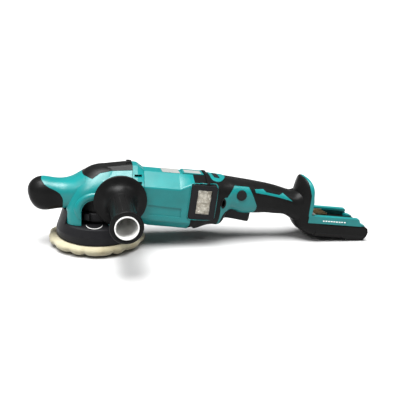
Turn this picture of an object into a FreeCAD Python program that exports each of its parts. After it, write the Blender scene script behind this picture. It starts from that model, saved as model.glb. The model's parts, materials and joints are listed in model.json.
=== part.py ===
import FreeCAD, Part
import math
import os

import Sketcher
from FreeCAD import Placement, Rotation, Vector

"""Dual action polisher with an in-line motor and a battery foot.

World frame: origin where the spindle axis meets the pad's working face, +X towards
the battery foot, +Z up.  The tool frame has its X along the motor axis, which crosses
the spindle axis at axis_height and falls towards the rear by axis_pitch degrees.
Every length is in millimetres and every driving dimension lives in the spreadsheet.
"""

# ---------------------------------------------------------------- driving dimensions
DIMENSIONS = {
    # spindle stack, heights above the working face of the pad
    "orbit_offset": -2.75,
    "foam_radius": 70.0,
    "foam_height": 15.5,
    "hook_bore": 9.0,
    "plate_radius": 55.0,
    "hook_thickness": 1.0,
    "plate_top": 26.0,
    "skirt_radius": 61.8,
    "skirt_bottom": 17.0,
    "skirt_top": 39.0,
    "skirt_wall": 2.8,
    "gear_bottom": 30.0,
    "gear_top": 36.0,
    "gear_module": 1.375,
    "hub_teeth": 35,
    "ring_teeth": 39,
    "neck_radius": 30.4,
    "neck_bore": 26.5,
    "pad_bearing_radius": 14.0,
    "pad_shaft_radius": 6.0,
    "eccentric_top": 56.0,
    "spindle_radius": 7.0,
    "spindle_top": 106.0,
    "lower_bearing_bottom": 59.0,
    "lower_bearing_top": 67.5,
    "lower_bearing_radius": 16.0,
    "upper_bearing_bottom": 97.0,
    "upper_bearing_top": 105.0,
    "upper_bearing_radius": 11.0,
    "wheel_teeth": 37,
    "pinion_teeth": 10,
    "wheel_radius": 26.0,
    "bevel_face": 7.0,
    "gearbox_radius": 31.5,
    "ring_bottom": 42.0,
    "ring_top": 55.2,
    "ring_radius": 35.0,
    # motor line, stations measured along the tool frame
    "axis_height": 81.0,
    "axis_pitch": 5.3,
    "motor_shaft_radius": 4.0,
    "stator_radius": 29.0,
    "stator_bore": 14.6,
    "stator_front": 68.0,
    "stator_rear": 108.0,
    "rotor_radius": 14.0,
    "fan_radius": 30.0,
    "fan_front": 50.0,
    "fan_rear": 60.0,
    "motor_bore": 33.5,
    # handle and battery foot
    "wall": 3.2,
    "battery_wall": 326.4,
    "foot_end": 427.5,
    "foot_width": 62.0,
    "foot_deck": -18.0,
    "rail_top": -6.5,
    # controls
    "trigger_width": 17.2,
    "trigger_pin_radius": 1.5,
    "button_radius": 7.6,
    "dial_radius": 16.0,
    "dial_height": 22.0,
    "dial_width": 7.0,
    # side grip, stations measured outwards from the spindle axis
    "grip_station": 28.4,
    "grip_height": 76.9,
    "grip_inner_face": 42.8,
    "grip_end": 152.0,
    "guard_radius": 37.5,
    "grip_tube_radius": 17.2,
    "grip_flange_radius": 21.6,
    "core_radius": 15.5,
    "core_bore": 13.9,
    "stud_radius": 4.0,
    # fits
    "running_gap": 0.05,
    "seat_gap": 0.02,
    "part_gap": 0.3,
}

MOST_LOST = 0.04  # share of a piece that may be dropped as slivers

doc = FreeCAD.newDocument("DualActionPolisher")
sheet = doc.addObject("Spreadsheet::Sheet", "Dimensions")


class Size:
    """A length that carries both its value and the spreadsheet expression behind it."""

    def __init__(self, value, text):
        self.value = value
        self.text = text

    def _join(self, other, sign, value):
        other_text = other.text if isinstance(other, Size) else repr(float(other))
        return Size(value, "(%s %s %s)" % (self.text, sign, other_text))

    def __float__(self):
        return float(self.value)

    def __int__(self):
        return int(self.value)

    def __add__(self, other):
        return self._join(other, "+", self.value + float(other))

    def __sub__(self, other):
        return self._join(other, "-", self.value - float(other))

    def __mul__(self, other):
        return self._join(other, "*", self.value * float(other))

    def __neg__(self):
        return Size(-self.value, "(0 - %s)" % self.text)


class Dimensions:
    """The spreadsheet's aliases as attributes."""


def fill_sheet():
    """Write every driving dimension to the sheet and return them as Size attributes."""
    sizes = Dimensions()
    for row, (alias, value) in enumerate(DIMENSIONS.items(), start=1):
        sheet.set("A%d" % row, alias.replace("_", " "))
        sheet.set("B%d" % row, str(value))
        sheet.setAlias("B%d" % row, alias)
        setattr(sizes, alias, Size(float(value), "Dimensions." + alias))
    doc.recompute()
    return sizes


d = fill_sheet()

AT_ORIGIN = Placement()
TOOL_FRAME = Placement(Vector(0, 0, float(d.axis_height)),
                       Rotation(Vector(0, 1, 0), float(d.axis_pitch)))
ON_ORBIT = Placement(Vector(float(d.orbit_offset), 0, 0), Rotation())
ALONG_MOTOR = TOOL_FRAME * Placement(Vector(0, 0, 0), Rotation(Vector(0, 1, 0), 90))
FULL_TURN = 360.0
FAR = 500.0

nodes = []


# ---------------------------------------------------------------- feature helpers
def keep(feature, name):
    """Mark a document object as a finished sub-part."""
    feature.Label = name
    nodes.append(feature)
    return feature


def bind(feature, **sizes):
    """Set properties, through an expression wherever the value is a Size."""
    for prop, value in sizes.items():
        if isinstance(value, Size):
            feature.setExpression(prop, value.text)
        else:
            setattr(feature, prop, value)


def new_body(name, place):
    body = doc.addObject("PartDesign::Body", name)
    body.Placement = place
    return body


def sketch_on(body, role, name):
    """A sketch attached to one of the body's own origin planes."""
    plane = next(item for item in body.Origin.OriginFeatures if item.Role == role)
    sketch = body.newObject("Sketcher::SketchObject", name)
    sketch.AttachmentSupport = [(plane, "")]
    sketch.MapMode = "FlatFace"
    return sketch


def pin_coordinate(sketch, kind, geometry, value, axis):
    """Hold one coordinate of a line's first point, bound to the sheet when it is a Size."""
    if float(value) == 0:
        sketch.addConstraint(Sketcher.Constraint("PointOnObject", geometry, 1, axis))
        return
    index = sketch.addConstraint(
        Sketcher.Constraint(kind, -1, 1, geometry, 1, float(value)))
    if isinstance(value, Size):
        sketch.setExpression("Constraints[%d]" % index, value.text)


def polygon(sketch, outline):
    """A closed, fully constrained polygon through the given (x, y) vertices."""
    vertical_axis, horizontal_axis = -2, -1
    first = sketch.GeometryCount
    count = len(outline)
    for i, (x, y) in enumerate(outline):
        x_next, y_next = outline[(i + 1) % count]
        sketch.addGeometry(Part.LineSegment(
            Vector(float(x), float(y), 0), Vector(float(x_next), float(y_next), 0)), False)
    for i in range(count):
        sketch.addConstraint(Sketcher.Constraint(
            "Coincident", first + i, 2, first + (i + 1) % count, 1))
    for i, (x, y) in enumerate(outline):
        pin_coordinate(sketch, "DistanceX", first + i, x, vertical_axis)
        pin_coordinate(sketch, "DistanceY", first + i, y, horizontal_axis)


def circle(sketch, x, y, radius):
    """A circle held by its centre and radius."""
    index = sketch.addGeometry(
        Part.Circle(Vector(float(x), float(y), 0), Vector(0, 0, 1), float(radius)), False)
    for kind, value, axis in (("DistanceX", x, -2), ("DistanceY", y, -1)):
        if float(value) == 0:
            sketch.addConstraint(Sketcher.Constraint("PointOnObject", index, 3, axis))
            continue
        held = sketch.addConstraint(
            Sketcher.Constraint(kind, -1, 1, index, 3, float(value)))
        if isinstance(value, Size):
            sketch.setExpression("Constraints[%d]" % held, value.text)
    held = sketch.addConstraint(Sketcher.Constraint("Radius", index, float(radius)))
    if isinstance(radius, Size):
        sketch.setExpression("Constraints[%d]" % held, radius.text)


def turned(name, outline, place=AT_ORIGIN):
    """A body of revolution about its own Z; outline lists (radius, height) vertices."""
    body = new_body(name, place)
    profile = sketch_on(body, "XZ_Plane", name + "_profile")
    polygon(profile, outline)
    turn = body.newObject("PartDesign::Revolution", name + "_turn")
    turn.Profile = profile
    turn.ReferenceAxis = (profile, ["V_Axis"])
    turn.Angle = FULL_TURN
    return body


def padded(name, outline, width, place=AT_ORIGIN, holes=()):
    """A side-view polygon in XZ, extruded evenly to both sides of the XZ plane."""
    body = new_body(name, place)
    profile = sketch_on(body, "XZ_Plane", name + "_profile")
    polygon(profile, outline)
    for x, y, radius in holes:
        circle(profile, x, y, radius)
    pad = body.newObject("PartDesign::Pad", name + "_pad")
    pad.Profile = profile
    bind(pad, Length=width)
    pad.Midplane = True
    return body


def box(name, length, width, height, place):
    feature = doc.addObject("Part::Box", name)
    bind(feature, Length=length, Width=width, Height=height)
    feature.Placement = place
    return feature


def cylinder(name, radius, height, place):
    feature = doc.addObject("Part::Cylinder", name)
    bind(feature, Radius=radius, Height=height)
    feature.Placement = place
    return feature


def cut(name, base, tool):
    feature = doc.addObject("Part::Cut", name)
    feature.Base = base
    feature.Tool = tool
    return feature


def fuse(name, parts):
    feature = doc.addObject("Part::MultiFuse", name)
    feature.Shapes = parts
    return feature


def group(name, parts):
    """Separate identical solids that share one node."""
    feature = doc.addObject("Part::Compound", name)
    feature.Links = parts
    return feature


def freeform(name, shape, place=AT_ORIGIN):
    """A sub-part whose surface is worked out below from the sheet's values."""
    feature = doc.addObject("Part::Feature", name)
    feature.Shape = shape
    feature.Placement = place * shape.Placement
    return keep(feature, name)


# ---------------------------------------------------------------- shape helpers
def raw_box(low, high):
    """A box shape between two corners."""
    size = [high[i] - low[i] for i in range(3)]
    return Part.makeBox(size[0], size[1], size[2], Vector(*low))


def raw_cylinder(radius, start, end):
    """A cylinder shape between two points."""
    start, end = Vector(*start), Vector(*end)
    axis = end - start
    return Part.makeCylinder(radius, axis.Length, start, axis)


def moved(shape, place):
    """A copy of a shape carried by a placement."""
    return shape.transformed(place.toMatrix())


def side_prism(outline, low_y, high_y):
    """A prism over a side-view outline, between two Y planes."""
    points = [Vector(x, low_y, z) for x, z in outline]
    face = Part.Face(Part.makePolygon(points + points[:1]))
    return face.extrude(Vector(0, high_y - low_y, 0))


def oval_wire(station, centre, half_width, half_height, power):
    """A closed smooth cross-section across X: a superellipse."""
    count = 24
    points = []
    for i in range(count):
        angle = 2 * math.pi * i / count
        c, s = math.cos(angle), math.sin(angle)
        y = half_width * math.copysign(abs(c) ** (2 / power), c)
        z = centre + half_height * math.copysign(abs(s) ** (2 / power), s)
        points.append(Vector(station, y, z))
    curve = Part.BSplineCurve()
    curve.interpolate(Points=points, PeriodicFlag=True)
    return Part.Wire(curve.toShape())


def lofted_ovals(stations, inset=0.0):
    """A solid through (station, half_width, top, bottom, power) ovals, drawn in by inset."""
    wires = []
    for station, half_width, top, bottom, power in stations:
        wires.append(oval_wire(station, (top + bottom) / 2, half_width - inset,
                               (top - bottom) / 2 - inset, power))
    return Part.makeLoft(wires, True, False, False, 3)


def rounded_polygon(points, radius):
    """A closed wire through the points with every corner rounded by an arc."""
    edges, ends = [], []
    count = len(points)
    for i in range(count):
        corner = points[i]
        back = (points[i - 1] - corner).normalize()
        ahead = (points[(i + 1) % count] - corner).normalize()
        half_angle = back.getAngle(ahead) / 2
        reach = radius / math.tan(half_angle)
        middle = (back + ahead).normalize()
        centre = corner + middle * (radius / math.sin(half_angle))
        ends.append((corner + back * reach, centre - middle * radius, corner + ahead * reach))
    for i in range(count):
        start, through, end = ends[i]
        edges.append(Part.Arc(start, through, end).toShape())
        edges.append(Part.LineSegment(end, ends[(i + 1) % count][0]).toShape())
    return Part.Wire(edges)


def housing_wire(station, half_width, top, bottom, shoulder, radius=4.0, inset=0.0):
    """The motor line's cross-section: flat top, sloping shoulders, upright flanks."""
    wide, high, low = half_width - inset, top - inset, bottom + inset
    crown, belly = 0.31 * wide, 0.62 * wide
    right = [(belly, low), (wide, low + 13.0), (wide, shoulder), (crown, high)]
    corners = right + [(-y, z) for y, z in reversed(right)]
    return rounded_polygon([Vector(station, y, z) for y, z in corners], radius)


def lofted_housing(stations):
    """A ruled solid through (station, half_width, top, bottom, shoulder) sections."""
    return Part.makeLoft([housing_wire(*station) for station in stations], True, True)


def upright_wire(level, front, rear, half_width, power):
    """A closed level section of the handle's rear block: rounded in front, square behind."""
    count = 24
    corner = min(5.0, (rear - front) / 3)
    centre = min(rear - corner, front + 27.0)
    points = []
    for i in range(count):
        angle = 2 * math.pi * i / count
        c, s = math.cos(angle), math.sin(angle)
        reach, bend = (rear - centre, 5.0) if c > 0 else (centre - front, power)
        x = centre + reach * math.copysign(abs(c) ** (2 / bend), c)
        y = half_width * math.copysign(abs(s) ** (2 / bend), s)
        points.append(Vector(x, y, level))
    curve = Part.BSplineCurve()
    curve.interpolate(Points=points, PeriodicFlag=True)
    return Part.Wire(curve.toShape())


def lofted_block(levels, inset=0.0):
    """A solid through level sections (level, front, rear, half_width, front power)."""
    wires = []
    last = len(levels) - 1
    for i, (level, front, rear, half_width, power) in enumerate(levels):
        lift = inset if i == 0 else (-inset if i == last else 0.0)
        wires.append(upright_wire(level + lift, front + inset, rear - inset,
                                  half_width - inset, power))
    return Part.makeLoft(wires, True, False, False, 3)


# ---------------------------------------------------------------- gears
def involute(angle):
    return math.tan(angle) - angle


def tooth_angles(teeth, module, radii, slack, pressure=math.radians(25)):
    """Half the tooth angle of an involute gear at each radius, thinned by slack."""
    pitch_radius = teeth * module / 2
    base_radius = pitch_radius * math.cos(pressure)
    at_pitch = math.pi / (2 * teeth) + involute(pressure)
    angles = []
    for radius in radii:
        local = math.acos(min(1.0, base_radius / radius))
        angles.append(at_pitch - involute(local) - slack / (2 * pitch_radius))
    return angles


def gear_face(teeth, module, low, high, slack, first_angle):
    """The toothed outline of a spur gear between root radius low and tip radius high."""
    steps = 4
    radii = [low + (high - low) * i / steps for i in range(steps + 1)]
    halves = tooth_angles(teeth, module, radii, slack)
    points = []
    for k in range(teeth):
        centre = first_angle + 2 * math.pi * k / teeth
        rising = [(r, centre - a) for r, a in zip(radii, halves)]
        falling = [(r, centre + a) for r, a in zip(reversed(radii), reversed(halves))]
        points += [Vector(r * math.cos(a), r * math.sin(a), 0) for r, a in rising + falling]
    return Part.Face(Part.makePolygon(points + points[:1]))


def bevel_tooth(cone_angle, outer, inner, pitch_half, module, around):
    """One straight bevel tooth: a wedge whose edges all aim at the cones' apex."""
    tip, root = 0.55 * module, -1.15 * module
    slope = math.tan(math.radians(22))
    corners = []
    for cone in (outer, inner):
        scale = cone / outer
        for offset, side in ((root, -1), (root, 1), (tip, 1), (tip, -1)):
            half = (pitch_half - offset * slope) * scale
            radius = cone * math.sin(cone_angle) + offset * scale * math.cos(cone_angle)
            axial = cone * math.cos(cone_angle) - offset * scale * math.sin(cone_angle)
            corners.append(Vector(axial, side * half, radius))
    quads = ((0, 1, 2, 3), (7, 6, 5, 4), (0, 4, 5, 1), (1, 5, 6, 2), (2, 6, 7, 3), (3, 7, 4, 0))
    faces = []
    for quad in quads:
        loop = [corners[i] for i in quad]
        faces.append(Part.Face(Part.makePolygon(loop + loop[:1])))
    tooth = Part.Solid(Part.Shell(faces))
    if tooth.Volume < 0:
        tooth.reverse()
    tooth.rotate(Vector(0, 0, 0), Vector(1, 0, 0), around)
    return tooth


def bevel_gear(teeth, cone_angle, outer, inner, module, back, bore, phase):
    """A bevel gear on +X with its apex at the origin; back is the rear face's station."""
    root = -0.75 * module

    def on_root(cone):
        scale = cone / outer
        return Vector(cone * math.cos(cone_angle) - root * scale * math.sin(cone_angle), 0,
                      cone * math.sin(cone_angle) + root * scale * math.cos(cone_angle))

    large, small = on_root(outer), on_root(inner)
    rim = [small, large, Vector(back, 0, large.z), Vector(back, 0, bore),
           Vector(small.x, 0, bore)]
    blank = Part.Face(Part.makePolygon(rim + rim[:1]))
    blank = blank.revolve(Vector(0, 0, 0), Vector(1, 0, 0), FULL_TURN)
    blank = Part.Solid(blank) if blank.ShapeType != "Solid" else blank
    pitch_half = math.pi * module / 4 - 0.16
    cutters = [bevel_tooth(cone_angle, outer, inner, pitch_half, module,
                           phase + FULL_TURN * k / teeth) for k in range(teeth)]
    return blank.multiFuse(cutters).removeSplitter()


# ---------------------------------------------------------------- pad and orbit drive
def build_pad():
    """Foam pad, backing pad, bolt and washer, all centred on the orbiting shaft."""
    keep(turned("foam_pad", [
        (0, 0), (d.foam_radius - 17.0, 0), (d.foam_radius - 8.0, 2.6),
        (d.foam_radius - 2.5, 5.2), (d.foam_radius, 8.5), (d.foam_radius, 12.0),
        (d.foam_radius - 1.5, 14.4), (d.foam_radius - 6.0, d.foam_height), (0, d.foam_height),
    ], ON_ORBIT), "foam_pad")
    hook_top = d.foam_height + d.hook_thickness
    keep(turned("hook_disc", [
        (d.hook_bore, d.foam_height), (d.plate_radius, d.foam_height),
        (d.plate_radius, hook_top), (d.hook_bore, hook_top),
    ], ON_ORBIT), "hook_disc")
    bolt_head_radius, shank_radius = 8.2, 4.3
    seat = d.plate_top - 3.0
    keep(turned("backing_pad", [
        (bolt_head_radius + 0.3, hook_top), (d.plate_radius, hook_top),
        (d.plate_radius, hook_top + 3.0), (d.plate_radius - 6.0, d.plate_top),
        (shank_radius, d.plate_top), (shank_radius, seat), (bolt_head_radius + 0.3, seat),
    ], ON_ORBIT), "backing_pad")
    washer = turned("pad_washer", [
        (shank_radius, seat - 1.5), (bolt_head_radius, seat - 1.5),
        (bolt_head_radius, seat), (shank_radius, seat),
    ], ON_ORBIT)
    bolt_radius, bolt_end = 3.95, 42.0
    shank = turned("pad_bolt_shank", [
        (0, seat - 1.5), (bolt_radius, seat - 1.5), (bolt_radius, bolt_end), (0, bolt_end),
    ], ON_ORBIT)
    head = turned("pad_bolt_head", [
        (3.1, seat - 6.0), (6.5, seat - 6.0), (6.5, seat - 1.5), (0, seat - 1.5),
        (0, seat - 3.0), (3.1, seat - 3.0),
    ], ON_ORBIT)
    keep(group("pad_bolt_set", [fuse("pad_bolt_solid", [shank, head]), washer]), "pad_bolt")


def build_orbit_drive():
    """Pad shaft, hub gear, fixed ring gear, bearings, eccentric and counterweight."""
    shaft = d.pad_shaft_radius - d.running_gap
    shaft_top = d.eccentric_top - 2.5
    keep(turned("pad_shaft", [
        (4.0, d.plate_top), (16.0, d.plate_top), (16.0, 29.0), (10.0, 29.0),
        (10.0, d.gear_top), (7.5, d.gear_top), (7.5, 37.2), (shaft, 37.2),
        (shaft, shaft_top), (0, shaft_top), (0, 43.0), (4.0, 43.0),
    ], ON_ORBIT), "pad_shaft")
    module, low, high = float(d.gear_module), float(d.gear_bottom), float(d.gear_top)
    hub_teeth, ring_teeth = int(d.hub_teeth), int(d.ring_teeth)
    hub_pitch, ring_pitch = hub_teeth * module / 2, ring_teeth * module / 2
    addendum, dedendum, slack = 0.5 * module, 0.85 * module, 0.22
    hub = gear_face(hub_teeth, module, hub_pitch - dedendum, hub_pitch + addendum, slack,
                    math.pi)
    hub = hub.extrude(Vector(0, 0, high - low - 0.6))
    hub = hub.cut(Part.makeCylinder(10.0 + float(d.seat_gap), high))
    hub.translate(Vector(0, 0, low + 0.3))
    freeform("hub_gear", hub, ON_ORBIT)
    teeth = gear_face(ring_teeth, module, ring_pitch - addendum, ring_pitch + dedendum,
                      -slack, math.pi)
    ring = Part.makeCylinder(float(d.neck_radius), high - low)
    ring = ring.cut(teeth.extrude(Vector(0, 0, high - low)))
    ring.translate(Vector(0, 0, low))
    freeform("ring_gear", ring)
    outer = d.pad_bearing_radius - d.seat_gap
    pair = [bearing(name, d.pad_shaft_radius, outer, bottom, top, ON_ORBIT)
            for name, bottom, top in (("lower_pad_bearing", 38.0, 45.4),
                                      ("upper_pad_bearing", 46.0, 53.4))]
    keep(group("pad_bearing_pair", pair), "pad_bearings")
    reach = d.pad_bearing_radius + 4.0
    carrier = cylinder("eccentric_barrel", reach, d.eccentric_top - 37.5,
                       Placement(Vector(float(d.orbit_offset), 0, 37.5), Rotation()))
    disc = cylinder("eccentric_disc", d.neck_bore - 1.5, 5.0,
                    Placement(Vector(0, 0, float(d.eccentric_top) - 5.0), Rotation()))
    bore = cylinder("eccentric_bore", d.pad_bearing_radius, d.eccentric_top - 39.5,
                    Placement(Vector(float(d.orbit_offset), 0, 37.0), Rotation()))
    keep(cut("eccentric_solid", fuse("eccentric_blank", [carrier, disc]), bore), "eccentric")
    weight_ring = cylinder("weight_blank", d.neck_bore - 1.5, 12.5,
                           Placement(Vector(0, 0, 38.4), Rotation()))
    weight_bore = cylinder("weight_bore", reach + 0.1, 20.0,
                           Placement(Vector(float(d.orbit_offset), 0, 35.0), Rotation()))
    weight_front = box("weight_front", 60.0, 80.0, 30.0,
                       Placement(Vector(-56.0, -40.0, 35.0), Rotation()))
    weight = cut("weight_arc", weight_ring, weight_bore)
    keep(cut("weight_solid", weight, weight_front), "counterweight")


def bearing(name, bore, outer, bottom, top, place=AT_ORIGIN):
    """A sealed ball bearing: a ring whose shields sit a little below its faces."""
    dish = 0.6
    inner_land, outer_land = bore + 1.8, outer - 1.8
    return turned(name, [
        (bore, bottom), (inner_land, bottom), (inner_land, bottom + dish),
        (outer_land, bottom + dish), (outer_land, bottom), (outer, bottom), (outer, top),
        (outer_land, top), (outer_land, top - dish), (inner_land, top - dish),
        (inner_land, top), (bore, top),
    ], place)


def build_spindle():
    """Spindle, its bearings and the bevel pair."""
    lower, upper = d.spindle_radius - d.running_gap, Size(5.0, "5.0") - d.running_gap
    wheel_seat = 6.5
    keep(turned("spindle", [
        (0, d.eccentric_top), (12.0, d.eccentric_top), (12.0, d.lower_bearing_bottom - 0.3),
        (8.6, d.lower_bearing_bottom - 0.3), (lower, d.lower_bearing_bottom - 0.1),
        (lower, d.lower_bearing_top), (wheel_seat, d.lower_bearing_top), (wheel_seat, 76.0),
        (upper, 78.0), (upper, d.spindle_top), (0, d.spindle_top),
    ]), "spindle")
    keep(bearing("spindle_bearing_lower", d.spindle_radius, d.lower_bearing_radius - d.seat_gap,
                 d.lower_bearing_bottom + 0.02, d.lower_bearing_top - 0.3), "spindle_bearing_lower")
    keep(bearing("spindle_bearing_upper", Size(5.0, "5.0"), d.upper_bearing_radius - d.seat_gap,
                 d.upper_bearing_bottom, d.upper_bearing_top), "spindle_bearing_upper")
    ratio = float(d.wheel_teeth) / float(d.pinion_teeth)
    shaft_angle = math.radians(90 - float(d.axis_pitch))
    pinion_cone = math.atan(math.sin(shaft_angle) / (ratio + math.cos(shaft_angle)))
    wheel_cone = shaft_angle - pinion_cone
    outer = float(d.wheel_radius) / math.sin(wheel_cone)
    inner = outer - float(d.bevel_face)
    module = 2 * float(d.wheel_radius) / float(d.wheel_teeth)
    wheel_back = float(d.axis_height) - float(d.lower_bearing_top) - 0.4
    wheel = bevel_gear(int(d.wheel_teeth), wheel_cone, outer, inner, module, wheel_back,
                       wheel_seat + float(d.seat_gap), 180.0)
    wheel.rotate(Vector(0, 0, 0), Vector(0, 1, 0), 90)
    wheel.translate(Vector(0, 0, float(d.axis_height)))
    freeform("bevel_wheel", wheel)
    pinion = bevel_gear(int(d.pinion_teeth), pinion_cone, outer, inner, module,
                        outer * math.cos(pinion_cone) + 4.0,
                        float(d.motor_shaft_radius) + float(d.seat_gap), 0.0)
    freeform("pinion", pinion, TOOL_FRAME)


def gearbox_form(gap):
    """Outside of the gearbox casting, grown by gap: barrel, cap and motor snout."""
    radius, axis = float(d.gearbox_radius) + gap, float(d.axis_height)
    barrel = Part.makeCylinder(radius, axis + 9 - 57 + gap, Vector(0, 0, 57 - gap))
    crown = Part.makeCone(radius, 17 + gap, 14, Vector(0, 0, axis + 9))
    cap = Part.makeCylinder(17 + gap, 6 + gap, Vector(0, 0, axis + 22))
    snout = moved(raw_cylinder(22 + gap, (10, 0, 0), (43 + gap, 0, 0)), TOOL_FRAME)
    return barrel.multiFuse([crown, cap, snout]).removeSplitter()


def build_gear_housing():
    """The gearbox casting with its bearing seats and open neck."""
    web_bottom = 57.0
    form = gearbox_form(0).fuse(
        Part.makeCylinder(float(d.neck_radius), web_bottom - float(d.gear_top) + 1,
                          Vector(0, 0, float(d.gear_top))))
    hollows = [
        Part.makeCylinder(float(d.neck_bore), web_bottom - float(d.gear_top),
                          Vector(0, 0, float(d.gear_top))),
        Part.makeCylinder(13.0, 5, Vector(0, 0, web_bottom - 1)),
        Part.makeCylinder(float(d.lower_bearing_radius), 10,
                          Vector(0, 0, float(d.lower_bearing_bottom))),
        Part.makeCylinder(28.5, 18.5, Vector(0, 0, float(d.lower_bearing_top))),
        Part.makeCylinder(20.0, 8, Vector(0, 0, 85)),
        Part.makeCylinder(10.0, 12, Vector(0, 0, 90)),
        Part.makeCylinder(float(d.upper_bearing_radius), 9,
                          Vector(0, 0, float(d.upper_bearing_bottom))),
        moved(raw_cylinder(11, (8, 0, 0), (34, 0, 0)), TOOL_FRAME),
        moved(raw_cylinder(13, (33, 0, 0), (41, 0, 0)), TOOL_FRAME),
        moved(raw_cylinder(8, (40, 0, 0), (50, 0, 0)), TOOL_FRAME),
    ]
    freeform("gear_housing", form.cut(hollows[0].multiFuse(hollows[1:])))


# ---------------------------------------------------------------- head
NOSE = [  # station, half width, top, bottom, power
    (-100.2, 4.0, 84.5, 77.5, 2.0), (-98.6, 10.0, 89.5, 71.5, 2.1),
    (-94.5, 16.0, 95.2, 62.0, 2.2), (-88.0, 20.0, 99.4, 55.4, 2.3),
    (-79.0, 22.5, 101.0, 52.6, 2.4), (-68.0, 23.0, 99.4, 53.4, 2.4),
    (-57.0, 23.0, 97.8, 55.2, 2.5), (-46.0, 25.5, 98.2, 56.0, 2.6),
    (-34.0, 29.5, 102.4, 54.0, 2.6), (-20.0, 33.0, 110.4, 52.0, 2.5),
]
BARREL = [  # level, centre, half length, half width, power
    (39.8, -4.0, 44.0, 42.0, 4.0), (58.0, -3.5, 43.8, 40.8, 3.8), (78.0, -1.0, 43.0, 40.0, 3.0),
    (94.0, 2.0, 40.0, 37.0, 2.4), (104.0, 5.0, 34.0, 30.0, 2.3), (112.0, 8.0, 27.0, 22.0, 2.2),
    (118.0, 11.0, 17.0, 12.0, 2.1),
]
REAR_BLOCK = [  # station, half width, top, bottom, shoulder
    (2.0, 36.5, 37.4, -36.0, 18.0), (20.0, 37.5, 41.0, -36.0, 20.0),
    (43.2, 38.0, 45.4, -36.0, 22.0),
]
COVER_EDGE = [(-60, 113.5), (-30.0, 111.0), (-22.0, 107.5), (-10.3, 104.5), (1.0, 111.5),
              (16.0, 113.8), (60.0, 115.5), (60, 150), (-60, 150)]
GRIP_EDGE = [(-120, 120), (-80.5, 120), (-81.0, 100.0), (-76.0, 94.0), (-69.6, 90.0),
             (-61.0, 86.0), (-55.0, 82.0), (-51.6, 76.0), (-50.8, 72.0), (-52.5, 50), (-120, 50)]
ARCH_CENTRE, ARCH_RADIUS, ARCH_SPRING = -7.0, 19.0, 58.0


def barrel_form(inset):
    """The upright barrel of the head, through level ovals."""
    wires = []
    for level, centre, half_length, half_width, power in BARREL:
        wire = oval_wire(0, 0, half_width - inset, half_length - inset, power)
        wire.rotate(Vector(0, 0, 0), Vector(0, 1, 0), 90)
        wire.translate(Vector(centre, 0, level - (inset if level > 100 else 0)))
        wires.append(wire)
    return Part.makeLoft(wires, True, False, False, 3)


def rear_block_form(inset):
    """The block that joins the head to the collar."""
    wires = [housing_wire(*station, inset=inset) for station in REAR_BLOCK]
    return moved(Part.makeLoft(wires, True, True), TOOL_FRAME)


def build_head():
    """Head housing with its arches, the soft top cover and the soft front grip."""
    skin = 3.0
    nose, nose_core = lofted_ovals(NOSE), lofted_ovals(NOSE[1:], skin)
    upper, upper_core = [barrel_form(i).fuse(rear_block_form(i)) for i in (0.0, skin)]
    over_cover = side_prism(COVER_EDGE, -FAR, FAR)
    over_grip = side_prism(GRIP_EDGE, -FAR, FAR)
    knob = moved(raw_box((35.0, -7.0, 38.0), (43.0, 7.0, 47.4)), TOOL_FRAME)
    knob = knob.makeFillet(1.6, [edge for edge in knob.Edges])
    cover = upper.multiFuse([nose.common(over_cover), knob]).common(over_cover).cut(upper_core)
    grip = nose.common(over_grip).cut(nose_core)
    cavity = gearbox_form(float(d.part_gap)).multiFuse([
        Part.makeCylinder(float(d.ring_radius) + 1, 22.5, Vector(0, 0, 38)),
        moved(raw_cylinder(34, (12, 0, 0), (50, 0, 0)), TOOL_FRAME)])
    arch = raw_box((ARCH_CENTRE - ARCH_RADIUS, -60, 30),
                   (ARCH_CENTRE + ARCH_RADIUS, 60, ARCH_SPRING)).fuse(
        raw_cylinder(ARCH_RADIUS, (ARCH_CENTRE, -60, ARCH_SPRING), (ARCH_CENTRE, 60, ARCH_SPRING)))
    station, height = float(d.grip_station), float(d.grip_height)
    reach = float(d.grip_inner_face) - 0.5
    bosses = [raw_cylinder(13.0, (station, side * 28, height), (station, side * reach, height))
              for side in (-1, 1)]
    bores = [raw_cylinder(6.5 + float(d.seat_gap), (station, side * 30, height),
                          (station, side * (reach + 1), height)) for side in (-1, 1)]
    nose_hollow = lofted_ovals(NOSE[1:-2], skin + 3.5)
    shell = upper.multiFuse([nose] + bosses)
    shell = shell.cut(grip).cut(cover)
    shell = shell.cut(cavity.multiFuse([arch, nose_hollow] + bores)).cut(skirt_form(0.3))
    freeform("head_housing", largest_solid(shell))
    freeform("head_top_cover", largest_solid(cover.cut(cavity)))
    freeform("front_grip", largest_solid(grip))
    thread = float(d.stud_radius)
    inserts = [raw_cylinder(6.5, (station, side * 30, height), (station, side * reach, height)).cut(
        raw_cylinder(thread, (station, side * 29, height), (station, side * 50, height)))
        for side in (-1, 1)]
    freeform("grip_inserts", Part.makeCompound(inserts))


def largest_solid(shape):
    """The main solid of a boolean result, without slivers; a lost piece stops the build."""
    volumes = sorted(solid.Volume for solid in shape.Solids)
    if sum(volumes[:-1]) > MOST_LOST * volumes[-1]:
        raise ValueError("a piece came apart: %s mm3" % [round(v) for v in volumes])
    return max(shape.Solids, key=lambda solid: solid.Volume)


def spun(outline, start, sweep):
    """A solid of revolution about the spindle, from (radius, height) points."""
    points = [Vector(r, 0, z) for r, z in outline]
    face = Part.Face(Part.makePolygon(points + points[:1]))
    face.rotate(Vector(0, 0, 0), Vector(0, 0, 1), start)
    return face.revolve(Vector(0, 0, 0), Vector(0, 0, 1), sweep)


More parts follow.
